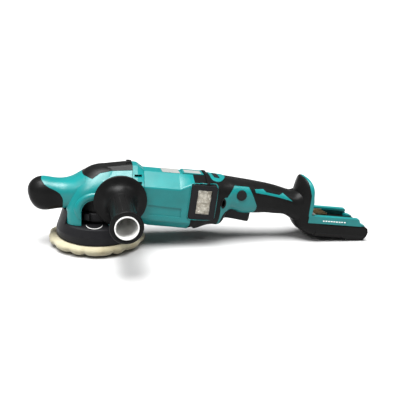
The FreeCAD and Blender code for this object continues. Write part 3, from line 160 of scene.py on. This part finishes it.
class Nodes:
    """Short ways to add and join the nodes of one material."""

    def __init__(self, name):
        self.paint = bpy.data.materials.new(name)
        self.paint.use_nodes = True
        self.tree = self.paint.node_tree
        self.shader = self.tree.nodes["Principled BSDF"]
        self.place = self.add("ShaderNodeTexCoord").outputs["Object"]

    def add(self, kind, **values):
        node = self.tree.nodes.new(kind)
        for key, value in values.items():
            setattr(node, key, value)
        return node

    def join(self, source, node, socket):
        self.tree.links.new(source, node.inputs[socket])

    def stretch(self, scale):
        """The object's own coordinates, scaled along each axis."""
        node = self.add("ShaderNodeMapping")
        node.inputs["Scale"].default_value = scale
        self.join(self.place, node, "Vector")
        return node.outputs["Vector"]

    def grain(self, scale, detail=2.0, vector=None):
        """Noise, on the object's own coordinates unless others are given."""
        node = self.add("ShaderNodeTexNoise")
        node.inputs["Scale"].default_value = scale
        node.inputs["Detail"].default_value = detail
        self.join(vector or self.place, node, "Vector")
        return node.outputs["Fac"]

    def spread(self, source, low, high, start=0.3, end=0.7):
        """Map a value from start..end onto low..high."""
        node = self.add("ShaderNodeMapRange")
        node.inputs["From Min"].default_value, node.inputs["From Max"].default_value = start, end
        node.inputs["To Min"].default_value, node.inputs["To Max"].default_value = low, high
        self.join(source, node, "Value")
        return node.outputs["Result"]

    def blend(self, factor, low, high):
        """Mix two colours, each a tuple or a socket: inputs 6 and 7 of the Mix node."""
        node = self.add("ShaderNodeMix", data_type="RGBA")
        self.join(factor, node, 0)
        for socket, value in ((6, low), (7, high)):
            if isinstance(value, tuple):
                node.inputs[socket].default_value = (*value, 1)
            else:
                self.join(value, node, socket)
        return node.outputs[2]

    def bump(self, height, strength, distance, normal=None):
        node = self.add("ShaderNodeBump")
        node.inputs["Strength"].default_value = strength
        node.inputs["Distance"].default_value = distance
        self.join(height, node, "Height")
        if normal:
            self.join(normal, node, "Normal")
        return node.outputs["Normal"]

    def rounded(self, radius):
        """Normals that run round each hard edge, and a mask of those edges."""
        bevel = self.add("ShaderNodeBevel", samples=4)
        bevel.inputs["Radius"].default_value = radius
        plain = self.add("ShaderNodeNewGeometry").outputs["Normal"]
        dot = self.add("ShaderNodeVectorMath", operation="DOT_PRODUCT")
        self.join(bevel.outputs[0], dot, 0)
        self.join(plain, dot, 1)
        return bevel.outputs[0], self.spread(dot.outputs["Value"], 1.0, 0.0, 0.80, 0.995)


def moulded(name, colour, roughness, grain=2400.0, height=0.00008, lift=0.12,
            specular=0.5, coat=0.0, variation=0.10):
    """Moulded plastic or rubber: fine surface grain, slight mottling, hard edges lightened in
    patches as painted edge highlight and wear.
    """
    graph = Nodes(name)
    normal, rim = graph.rounded(MOULDED_EDGE)
    mottle = graph.grain(38.0, 4.0)
    low = tuple(c * (1 - variation) for c in colour)
    high = tuple(min(1.0, c * (1 + variation)) for c in colour)
    # Lighter colour that hard edges take in scuffed patches: a painted edge highlight, partly wear.
    edge_highlight_and_wear = tuple(min(1.0, c + lift * (0.25 + c)) for c in colour)
    scuff_and_highlight_patches = graph.spread(graph.grain(420.0, 3.0), 0.0, EDGE_HIGHLIGHT_AND_SCUFF, 0.42, 0.68)
    mask = graph.add("ShaderNodeMath", operation="MULTIPLY")
    graph.join(rim, mask, 0)
    graph.join(scuff_and_highlight_patches, mask, 1)
    base = graph.blend(graph.spread(mottle, 0.0, 1.0), low, high)
    graph.join(graph.blend(mask.outputs[0], base, edge_highlight_and_wear), graph.shader, "Base Color")
    fine = graph.grain(grain, 2.0)
    graph.join(graph.bump(fine, 0.5, height, normal), graph.shader, "Normal")
    graph.join(graph.spread(graph.grain(120.0, 5.0), roughness - 0.05, roughness + 0.07),
               graph.shader, "Roughness")
    graph.shader.inputs["Specular IOR Level"].default_value = specular
    if coat:
        graph.shader.inputs["Coat Weight"].default_value = coat
        graph.shader.inputs["Coat Roughness"].default_value = 0.12
    return graph.paint


def metal(name, colour, roughness):
    """Machined metal: fine turning lines, soft stains, and a painted highlight along hard edges."""
    graph = Nodes(name)
    normal, rim = graph.rounded(METAL_EDGE)
    lines = graph.grain(900.0, 3.0, graph.stretch((0.12, 1.0, 6.0)))
    low, high = tuple(c * 0.82 for c in colour), tuple(min(1.0, c * 1.12) for c in colour)
    base = graph.blend(graph.spread(graph.grain(160.0, 4.0), 0.0, 1.0), low, high)
    # Brighter colour along every hard edge: a painted highlight.
    bright = tuple(min(1.0, c * 1.35) for c in colour)
    graph.join(graph.blend(rim, base, bright), graph.shader, "Base Color")
    graph.join(graph.bump(lines, 0.35, 0.00006, normal), graph.shader, "Normal")
    graph.join(graph.spread(lines, roughness - 0.08, roughness + 0.10), graph.shader, "Roughness")
    graph.shader.inputs["Metallic"].default_value = 1.0
    return graph.paint


def foam_paint(name):
    """Open-cell foam: small cells with painted shade in their pits, yellowed in patches."""
    graph = Nodes(name)
    cells = graph.add("ShaderNodeTexVoronoi")
    cells.inputs["Scale"].default_value = 620.0
    graph.join(graph.place, cells, "Vector")
    patches = graph.grain(46.0, 5.0)
    base = graph.blend(graph.spread(patches, 0.0, 1.0, 0.35, 0.72),
                       (0.36, 0.335, 0.235), (0.28, 0.245, 0.155))
    # Painted shade: darker in the pits at the cells' centres.
    pit_shade = graph.spread(cells.outputs["Distance"], 1.0, 0.0, 0.0, 0.35)
    graph.join(graph.blend(graph.spread(pit_shade, 0.0, 0.35, 0.4, 1.0), base, (0.20, 0.165, 0.105)),
               graph.shader, "Base Color")
    graph.join(graph.bump(cells.outputs["Distance"], 0.6, 0.0006), graph.shader, "Normal")
    graph.shader.inputs["Roughness"].default_value = 0.92
    graph.shader.inputs["Sheen Weight"].default_value = 0.25
    graph.shader.inputs["Specular IOR Level"].default_value = 0.15
    return graph.paint


def mesh_paint(name):
    """Fine woven steel screen, tarnished in patches, with painted shade in the gaps between its
    threads.
    """
    graph = Nodes(name)
    threads = []
    for scale in ((1, 1, 0.02), (0.02, 1, 1)):
        wave = graph.add("ShaderNodeTexWave", bands_direction="DIAGONAL")
        wave.inputs["Scale"].default_value = 300.0
        graph.join(graph.stretch(scale), wave, "Vector")
        threads.append(wave.outputs["Fac"])
    cross = graph.add("ShaderNodeMath", operation="MULTIPLY")
    graph.join(threads[0], cross, 0)
    graph.join(threads[1], cross, 1)
    stain = graph.blend(graph.spread(graph.grain(150.0, 5.0), 0.0, 1.0, 0.35, 0.65),
                        (0.66, 0.63, 0.55), (0.34, 0.31, 0.25))
    # Painted shade: darker where the threads' product is low, in the gaps between them.
    graph.join(graph.blend(graph.spread(cross.outputs[0], 0.35, 0.0, 0.0, 0.5), stain,
                           (0.12, 0.11, 0.09)), graph.shader, "Base Color")
    graph.join(graph.bump(cross.outputs[0], 0.7, 0.0003), graph.shader, "Normal")
    graph.shader.inputs["Metallic"].default_value = 0.55
    graph.shader.inputs["Roughness"].default_value = 0.42
    return graph.paint


def pile_paint(name):
    """Short hooked pile and its woven backing."""
    graph = Nodes(name)
    tufts = graph.grain(1500.0, 3.0, graph.stretch((1, 1, 0.2)))
    graph.join(graph.blend(graph.spread(tufts, 0.0, 1.0), (0.012, 0.012, 0.013),
                           (0.05, 0.05, 0.052)), graph.shader, "Base Color")
    graph.join(graph.bump(tufts, 0.9, 0.0005), graph.shader, "Normal")
    graph.shader.inputs["Roughness"].default_value = 0.95
    graph.shader.inputs["Sheen Weight"].default_value = 0.2
    return graph.paint


TEAL = (0.0015, 0.155, 0.155)
paints = {
    "teal_shell": moulded("teal_shell", TEAL, 0.36, specular=0.36, coat=0.05, lift=0.08),
    "soft_black": moulded("soft_black", (0.0055, 0.0055, 0.0055), 0.34, 1300.0, 0.00016,
                          specular=0.09, lift=0.03, variation=0.18),
    "black_plastic": moulded("black_plastic", (0.009, 0.009, 0.010), 0.38, specular=0.12,
                             lift=0.05, variation=0.15),
    "white_plastic": moulded("white_plastic", (0.78, 0.78, 0.76), 0.35, lift=0.02),
    "foam": foam_paint("foam"),
    "hook_pile": pile_paint("hook_pile"),
    "urethane": moulded("urethane", (0.014, 0.014, 0.014), 0.6, 900.0, 0.0002, specular=0.3),
    "ground_steel": metal("ground_steel", (0.56, 0.56, 0.57), 0.28),
    "zinc_steel": metal("zinc_steel", (0.60, 0.60, 0.58), 0.36),
    "cast_aluminium": metal("cast_aluminium", (0.48, 0.48, 0.48), 0.52),
    "black_casting": moulded("black_casting", (0.008, 0.008, 0.008), 0.5, 1100.0, 0.0002,
                             specular=0.12, lift=0.06),
    "contact_brass": metal("contact_brass", (0.50, 0.37, 0.20), 0.34),
    "lamination_steel": metal("lamination_steel", (0.30, 0.30, 0.31), 0.48),
    "screen_mesh": mesh_paint("screen_mesh"),
    "label_film": moulded("label_film", (0.27, 0.28, 0.27), 0.30, 600.0, 0.00003,
                          lift=0.0, coat=0.3, variation=0.05),
    "grey_plastic": moulded("grey_plastic", (0.13, 0.14, 0.13), 0.45),
}
for part in frame["record"]["subparts"]:
    piece = nodes[part["node"]]
    piece.data.materials.clear()
    piece.data.materials.append(paints[part["material_slot"]])


# ---------------------------------------------------------------- building helpers
def world_point(station, y, height):
    """A point given in mm along the tool's own line, in metres in the frame."""
    return TOOL @ (Vector((station, y, height)) * MM)


def new_piece(name, mesh, slot, body):
    """Link a mesh as a piece with its finish, riding on a body."""
    piece = bpy.data.objects.new(name, mesh)
    bpy.context.scene.collection.objects.link(piece)
    for face in mesh.polygons:
        face.use_smooth = True
    mesh.materials.append(paints[slot])
    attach(piece, body)
    return piece


def mesh_from(name, made):
    """Turn a bmesh into a mesh with its faces pointing outwards."""
    bmesh.ops.recalc_face_normals(made, faces=made.faces)
    mesh = bpy.data.meshes.new(name)
    made.to_mesh(mesh)
    made.free()
    return mesh


def skin(name, rings, closed=False, capped=True):
    """A mesh through rings of points in metres."""
    made = bmesh.new()
    rows = [[made.verts.new(p) for p in ring] for ring in rings]
    count = len(rows[0])
    pairs = list(zip(rows, rows[1:])) + ([(rows[-1], rows[0])] if closed else [])
    for low, high in pairs:
        for i in range(count):
            j = (i + 1) % count
            made.faces.new((low[i], low[j], high[j], high[i]))
    if capped and not closed:
        made.faces.new(list(reversed(rows[0])))
        made.faces.new(rows[-1])
    return mesh_from(name, made)


def curve_through(points, step):
    """Points along a smooth line through the given ones (Catmull-Rom), about step apart."""
    ends = [points[0]] + list(points) + [points[-1]]
    made = []
    for a, b, c, e in zip(ends, ends[1:], ends[2:], ends[3:]):
        span = math.dist(b, c)
        count = max(1, round(span / step))
        for k in range(count):
            u = k / count
            made.append(tuple(0.5 * (2 * q + (r - p) * u + (2 * p - 5 * q + 4 * r - s) * u * u
                                     + (3 * q - p - 3 * r + s) * u**3)
                              for p, q, r, s in zip(a, b, c, e)))
    made.append(tuple(points[-1]))
    return made


def surface_tree(*names):
    """A search tree over CAD nodes' surfaces."""
    corners, faces = [], []
    for name in names:
        mesh = nodes[name].data
        start = len(corners)
        corners += [v.co.copy() for v in mesh.vertices]
        faces += [[start + i for i in face.vertices] for face in mesh.polygons]
    return BVHTree.FromPolygons(corners, faces)


def flank(tree, x, z, side, fallback=None):
    """How far out the surface lies at (x, z), seen from one side, in metres."""
    hit = tree.ray_cast(Vector((x, side * 0.2, z)), Vector((0, -side, 0)))
    return hit[0].y if hit[0] else fallback


# ---------------------------------------------------------------- foam pad
# In mm: the radius inside which the foam is even, the width over which its rim grows lumpy, and
# the height up to which its underside lifts. Each wave of the rim makes two scallops. Then how far
# lumps and scallops move the rim's sides, underside and top, in mm.
FLAT_RADIUS, RIM_WIDTH, PAD_HEIGHT = 52.0, 14.0, 15.0
RIM_WAVES, MEAN_SCALLOP = 7.0, 0.7
SIDE_LUMP, SIDE_SCALLOP, UNDER_SCALLOP, UNDER_LUMP, TOP_LUMP = 1.9, 2.0, 4.2, 1.5, 0.7


def add_foam_pad():
    """Soft foam pad: crowned, with a lumpy scalloped rim, flat where it rests."""
    low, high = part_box("foam_pad")
    centre_x = (low[0] + high[0]) / 2
    profile = curve_through([(4, 0), (30, 0), (51, 0), (59, 1.4), (65.0, 3.6), (68.8, 6.6),
                             (70.0, 10.0), (69.0, 13.0), (66.0, 15.2), (62.0, 15.6),
                             (57.5, 15.45), (30, 15.4), (4, 15.4)], 1.6)
    count = 216
    rings = []
    for radius, height in profile:
        ring = []
        edge = min(1.0, max(0.0, (radius - FLAT_RADIUS) / RIM_WIDTH))
        under = max(0.0, 1.0 - height / PAD_HEIGHT)
        for i in range(count):
            turn = 2 * math.pi * i / count
            spot = Vector((math.cos(turn) * 2.2, math.sin(turn) * 2.2, 0.0))
            lump = noise.noise(spot * 1.7) + 0.6 * noise.noise(spot * 4.1 + Vector((3, 1, 0)))
            scallop = abs(math.sin(RIM_WAVES * turn + 1.3 * noise.noise(spot)))
            out = edge * (SIDE_LUMP * lump + SIDE_SCALLOP * (scallop - MEAN_SCALLOP))
            lift = edge * under * (UNDER_SCALLOP * (1 - scallop) ** 1.5 + UNDER_LUMP * lump)
            droop = edge * (1 - under) * TOP_LUMP * lump
            r = radius + out
            ring.append(Vector((centre_x + r * MM * math.cos(turn), r * MM * math.sin(turn),
                                max(0.0, height + lift + droop) * MM)))
        rings.append(ring)
    pad = new_piece("foam_pad_soft", skin("foam_pad_soft", rings), "foam", "pad_group")
    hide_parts("foam_pad")


# ---------------------------------------------------------------- side grip
# In mm: where the grip's axis runs, how far out its guard and sleeve start and the sleeve ends,
# the radius of its bore, and the length of the guard. Then the sleeve's radii and its dimples.
GRIP_X, GRIP_Z, GRIP_FACE, GRIP_END, GRIP_BORE, GUARD_LENGTH = 28.4, 76.9, 42.8, 152.0, 15.52, 22.0
GRIP_NECK, GRIP_TUBE = 17.7, 17.2
DIMPLE_ROWS, DIMPLE_LINES, DIMPLE_PITCH, DIMPLE_START = 12, 14, 5.6, 70.0
DIMPLE_RADIUS, DIMPLE_DEPTH = 1.35, 1.3


def turned_grip(name, profile, count, dent=None):
    """A hollow piece turned about the side grip's axis, from (distance out, radius)."""
    rings = []
    for out, radius in profile:
        ring = []
        for i in range(count):
            turn = 2 * math.pi * i / count
            r = radius - (dent(out, radius * turn) if dent and radius > GRIP_BORE + 1 else 0.0)
            ring.append(Vector((GRIP_X + r * math.cos(turn), -out,
                                GRIP_Z + r * math.sin(turn))) * MM)
        rings.append(ring)
    return skin(name, rings, closed=True)


def add_grip_guard():
    """Flared hand guard at the root of the side grip."""
    face, back = GRIP_FACE, GRIP_FACE + GUARD_LENGTH
    flare = curve_through([(face, 35.4), (face + 0.7, 37.2), (face + 1.9, 37.5),
                           (face + 3.4, 36.6), (face + 4.4, 33.0), (face + 5.9, 28.6),
                           (face + 8.6, 24.4), (face + 12.6, 21.2), (face + 17.2, 18.9),
                           (back, GRIP_NECK)], 0.9)
    outline = [(face, GRIP_BORE), (face, 26.0)] + flare + [(back, GRIP_BORE)]
    piece = new_piece("grip_guard_flared", turned_grip("grip_guard_flared", outline, 144),
                      "soft_black", "body")
    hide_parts("grip_guard")


def dimple(out, along):
    """Depth at a point of the sleeve: small round dimples in straight lines along the tube."""
    row = round((out - DIMPLE_START) / DIMPLE_PITCH)
    if not 0 <= row < DIMPLE_ROWS:
        return 0.0
    spacing = 2 * math.pi / DIMPLE_LINES
    turn = along / GRIP_TUBE
    side = ((turn + spacing / 2) % spacing - spacing / 2) * GRIP_TUBE
    distance = math.hypot(out - DIMPLE_START - row * DIMPLE_PITCH, side)
    return DIMPLE_DEPTH * max(0.0, 1 - (distance / DIMPLE_RADIUS) ** 2)


def add_grip_sleeve():
    """Dimpled sleeve of the side grip, with a rolled lip at its open end."""
    face, start, end = GRIP_FACE, GRIP_FACE + GUARD_LENGTH, GRIP_END
    outline = [(start, GRIP_BORE), (start, GRIP_NECK)]
    outline += curve_through([(face + 22.4, GRIP_NECK), (face + 32.0, GRIP_TUBE),
                              (end - 16.0, GRIP_TUBE), (end - 10.0, 17.7), (end - 5.4, 19.7),
                              (end - 3.2, 21.1), (end - 1.8, 21.6), (end - 0.5, 21.2),
                              (end, 20.2)], 0.8)
    outline += [(end, GRIP_BORE)]
    piece = new_piece("grip_sleeve_dimpled",
                      turned_grip("grip_sleeve_dimpled", outline, 180, dimple),
                      "soft_black", "body")
    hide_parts("grip_sleeve")


# ---------------------------------------------------------------- dust screens
# A screen's first station and its width, its lowest height and its tallness, how far out it lies,
# how far it is crumpled and how thick it is, in mm.
SCREEN_START, SCREEN_WIDTH, SCREEN_LOW, SCREEN_TALL = 139.5, 20.8, -14.5, 36.8
SCREEN_OUT, SCREEN_SWELL, SCREEN_THICK = 37.4, 0.95, 0.35


def crumple(u, v, side):
    """How far a screen swells out of its plane at (u, v) of its width and height, in mm."""
    spot = Vector((u * 3.1 + side * 5, v * 5.2, 0.0))
    fold = noise.noise(spot * 1.6) + 0.55 * noise.noise(spot * 4.3)
    crease = abs(noise.noise(spot * 1.9 + Vector((7, 2, 0))))
    fold += 1.5 * (0.35 - crease)
    held = min(1.0, 12 * min(u, 1 - u, v, 1 - v))
    return SCREEN_SWELL * fold * held


def add_dust_screens():
    """Crumpled woven screens behind the dust covers' windows."""
    columns, rows = 34, 60
    wide = columns + 1
    for side, label in ((-1, "left"), (1, "right")):
        front, back = [], []
        for j in range(rows + 1):
            for i in range(wide):
                u, v = i / columns, j / rows
                y = SCREEN_OUT + crumple(u, v, side)
                station, height = SCREEN_START + SCREEN_WIDTH * u, SCREEN_LOW + SCREEN_TALL * v
                front.append(world_point(station, side * y, height))
                back.append(world_point(station, side * (y - SCREEN_THICK), height))
        made = bmesh.new()
        near = [made.verts.new(p) for p in front]
        far = [made.verts.new(p) for p in back]
        for j in range(rows):
            for i in range(columns):
                a, b = j * wide + i, (j + 1) * wide + i
                made.faces.new((near[a], near[a + 1], near[b + 1], near[b]))
                made.faces.new((far[b], far[b + 1], far[a + 1], far[a]))
        borders = ([j * wide for j in range(rows + 1)],
                   [j * wide + columns for j in range(rows + 1)],
                   list(range(wide)), [rows * wide + i for i in range(wide)])
        for border in borders:
            for a, b in zip(border, border[1:]):
                made.faces.new((near[a], near[b], far[b], far[a]))
        name = "dust_mesh_" + label
        piece = new_piece(name, mesh_from(name, made), "screen_mesh", "dust_" + label)
        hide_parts("dust_screen_" + label)


# The line round each dust cover, in mm: the (station, height) of its lowest and highest corners,
# its corner radius, the spacing of its points, and its own section. HANDLE_FLANK is how far out it
# lies where no handle surface is found.
LINE_LOW, LINE_HIGH, LINE_CORNER, LINE_SPACING = (127.9, -23.3), (169.7, 30.9), 5.0, 2.0
LINE_HALF_WIDTH, LINE_HALF_HEIGHT, LINE_PROUD, HANDLE_FLANK = 0.85, 0.8, 0.45, 37.5


def rounded_outline(low, high, corner, spacing):
    """Points round a rectangle with rounded corners, at most about spacing apart."""
    path = []
    for centre, start in (((high[0] - corner, high[1] - corner), 0),
                          ((low[0] + corner, high[1] - corner), 90),
                          ((low[0] + corner, low[1] + corner), 180),
                          ((high[0] - corner, low[1] + corner), 270)):
        for k in range(7):
            angle = math.radians(start + 15 * k)
            path.append((centre[0] + corner * math.cos(angle),
                         centre[1] + corner * math.sin(angle)))
    spaced = []
    for a, b in zip(path, path[1:] + path[:1]):
        count = max(1, round(math.dist(a, b) / spacing))
        spaced += [(a[0] + (b[0] - a[0]) * k / count, a[1] + (b[1] - a[1]) * k / count)
                   for k in range(count)]
    return spaced


def add_cover_lines():
    """Thin raised teal line on the handle round each dust cover."""
    tree = surface_tree("handle_left", "handle_right", "motor_housing")
    outline = rounded_outline(LINE_LOW, LINE_HIGH, LINE_CORNER, LINE_SPACING)
    middle = ((LINE_LOW[0] + LINE_HIGH[0]) / 2, (LINE_LOW[1] + LINE_HIGH[1]) / 2)
    for side, label in ((-1, "left"), (1, "right")):
        rings = []
        for s, h in outline:
            spot = world_point(s, 0, h)
            y = flank(tree, spot.x, spot.z, side, side * HANDLE_FLANK * MM) / MM
            away = Vector((s - middle[0], 0, h - middle[1])).normalized()
            ring = []
            for k in range(8):
                angle = 2 * math.pi * k / 8
                ring.append(world_point(
                    s + away.x * LINE_HALF_WIDTH * math.cos(angle),
                    y + side * (LINE_PROUD + LINE_HALF_HEIGHT * math.sin(angle)),
                    h + away.z * LINE_HALF_WIDTH * math.cos(angle)))
            rings.append(ring)
        name = "cover_line_" + label
        new_piece(name, skin(name, rings, closed=True), "teal_shell", "body")


# ---------------------------------------------------------------- head details
# The arch's middle, the height where its round top starts and its radius, in mm. Then how far out
# the head lies where the flare starts, and the furthest that it may step between two points.
ARCH_X, ARCH_SPRING, ARCH_R = -7.0, 58.0, 19.0
ARCH_OUT, ARCH_STEP = 36.0, 6.0


def add_arch_flares():
    """Rounded flare that stands out round each arch of the head."""
    tree = surface_tree("head_housing", "front_grip")
    # The flare's section: distance from the arch's edge, and height over the head's surface.
    section = [(0.4, -3.0), (1.0, 0.2), (3.0, 1.3), (5.8, 2.1), (8.2, 2.3), (10.0, 1.2),
               (11.6, -1.6), (6.0, -4.0)]
    path = [(-1.0, 0.0, z) for z in (47.0, 50.0, 54.0)]
    path += [(math.cos(math.radians(180 - 9 * k)), math.sin(math.radians(180 - 9 * k)), None)
             for k in range(21)]
    path += [(1.0, 0.0, z) for z in (54.0, 51.0)]
    for side, label in ((-1, "left"), (1, "right")):
        rings = []
        last = ARCH_OUT
        for k, (across, up, level) in enumerate(path):
            fade = min(1.0, (k + 1) / 5, (len(path) - k) / 5)
            ring = []
            for r, out in section:
                reach = ARCH_R + r * (0.35 + 0.65 * fade)
                x = ARCH_X + across * reach
                z = (ARCH_SPRING + up * reach) if level is None else level
                base_reach = ARCH_R + max(r, 1.6)
                base_x = ARCH_X + across * base_reach
                base_z = (ARCH_SPRING + up * base_reach) if level is None else level
                y = flank(tree, base_x * MM, base_z * MM, side)
                y = abs(y) / MM if y is not None else last
                if abs(y - last) > ARCH_STEP:
                    y = last
                last = y
                lift = out * fade if out > 0 else out
                ring.append(Vector((x, side * (y + lift), z)) * MM)
            rings.append(ring)
        name = "arch_flare_" + label
        new_piece(name, skin(name, rings), "teal_shell", "body")


def add_skirt_mark():
    """White curved mark on the skirt's flat top, seen through the left arch."""
    top, centre, wide, deep = 39.0, (-7.8, -34.5), 11.6, 17.6
    half_width, proud, sunk = 0.9, 0.16, 0.1
    rings = []
    for k in range(41):
        turn = math.pi * k / 40
        ends = half_width * math.sqrt(max(0.05, math.sin(turn)))
        ring = []
        for across, up in ((-ends, -sunk), (-ends, proud), (ends, proud), (ends, -sunk)):
            ring.append(Vector((centre[0] - (wide + across) * math.cos(turn),
                                centre[1] - (deep + across) * math.sin(turn), top + up)) * MM)
        rings.append(ring)
    new_piece("skirt_mark", skin("skirt_mark", rings), "white_plastic", "body")


# ---------------------------------------------------------------- battery rail details
# A rail's dashes, in mm: how many, the first one's station, their pitch and length, their lower and
# upper edges, how far out their faces and their roots lie, and how far their edges are rounded.
DASHES, DASH_START, DASH_PITCH, DASH_LENGTH = 9, 346.4, 4.5, 2.7
DASH_LOW, DASH_HIGH, DASH_FACE, DASH_ROOT, DASH_ROUNDING = -14.0, -12.2, 31.32, 30.6, 0.22


def add_rail_marks():
    """A row of raised dashes along each rail's outer face."""
    for side, label in ((-1, "left"), (1, "right")):
        made = bmesh.new()
        for k in range(DASHES):
            start = DASH_START + DASH_PITCH * k
            end = start + DASH_LENGTH
            corners = [(start, DASH_LOW), (end, DASH_LOW), (end, DASH_HIGH), (start, DASH_HIGH)]
            outer = [made.verts.new(world_point(s, side * DASH_FACE, h)) for s, h in corners]
            inner = [made.verts.new(world_point(s, side * DASH_ROOT, h)) for s, h in corners]
            made.faces.new(outer)
            made.faces.new(list(reversed(inner)))
            for i in range(4):
                j = (i + 1) % 4
                made.faces.new((outer[i], inner[i], inner[j], outer[j]))
        edges = [e for e in made.edges if e.calc_length() > 0.5 * MM]
        bmesh.ops.bevel(made, geom=edges, offset=DASH_ROUNDING * MM, segments=2, affect="EDGES")
        name = "rail_marks_" + label
        new_piece(name, mesh_from(name, made), "white_plastic", "body")


add_foam_pad()
add_grip_guard()
add_grip_sleeve()
add_dust_screens()
add_cover_lines()
add_arch_flares()
add_skirt_mark()
add_rail_marks()
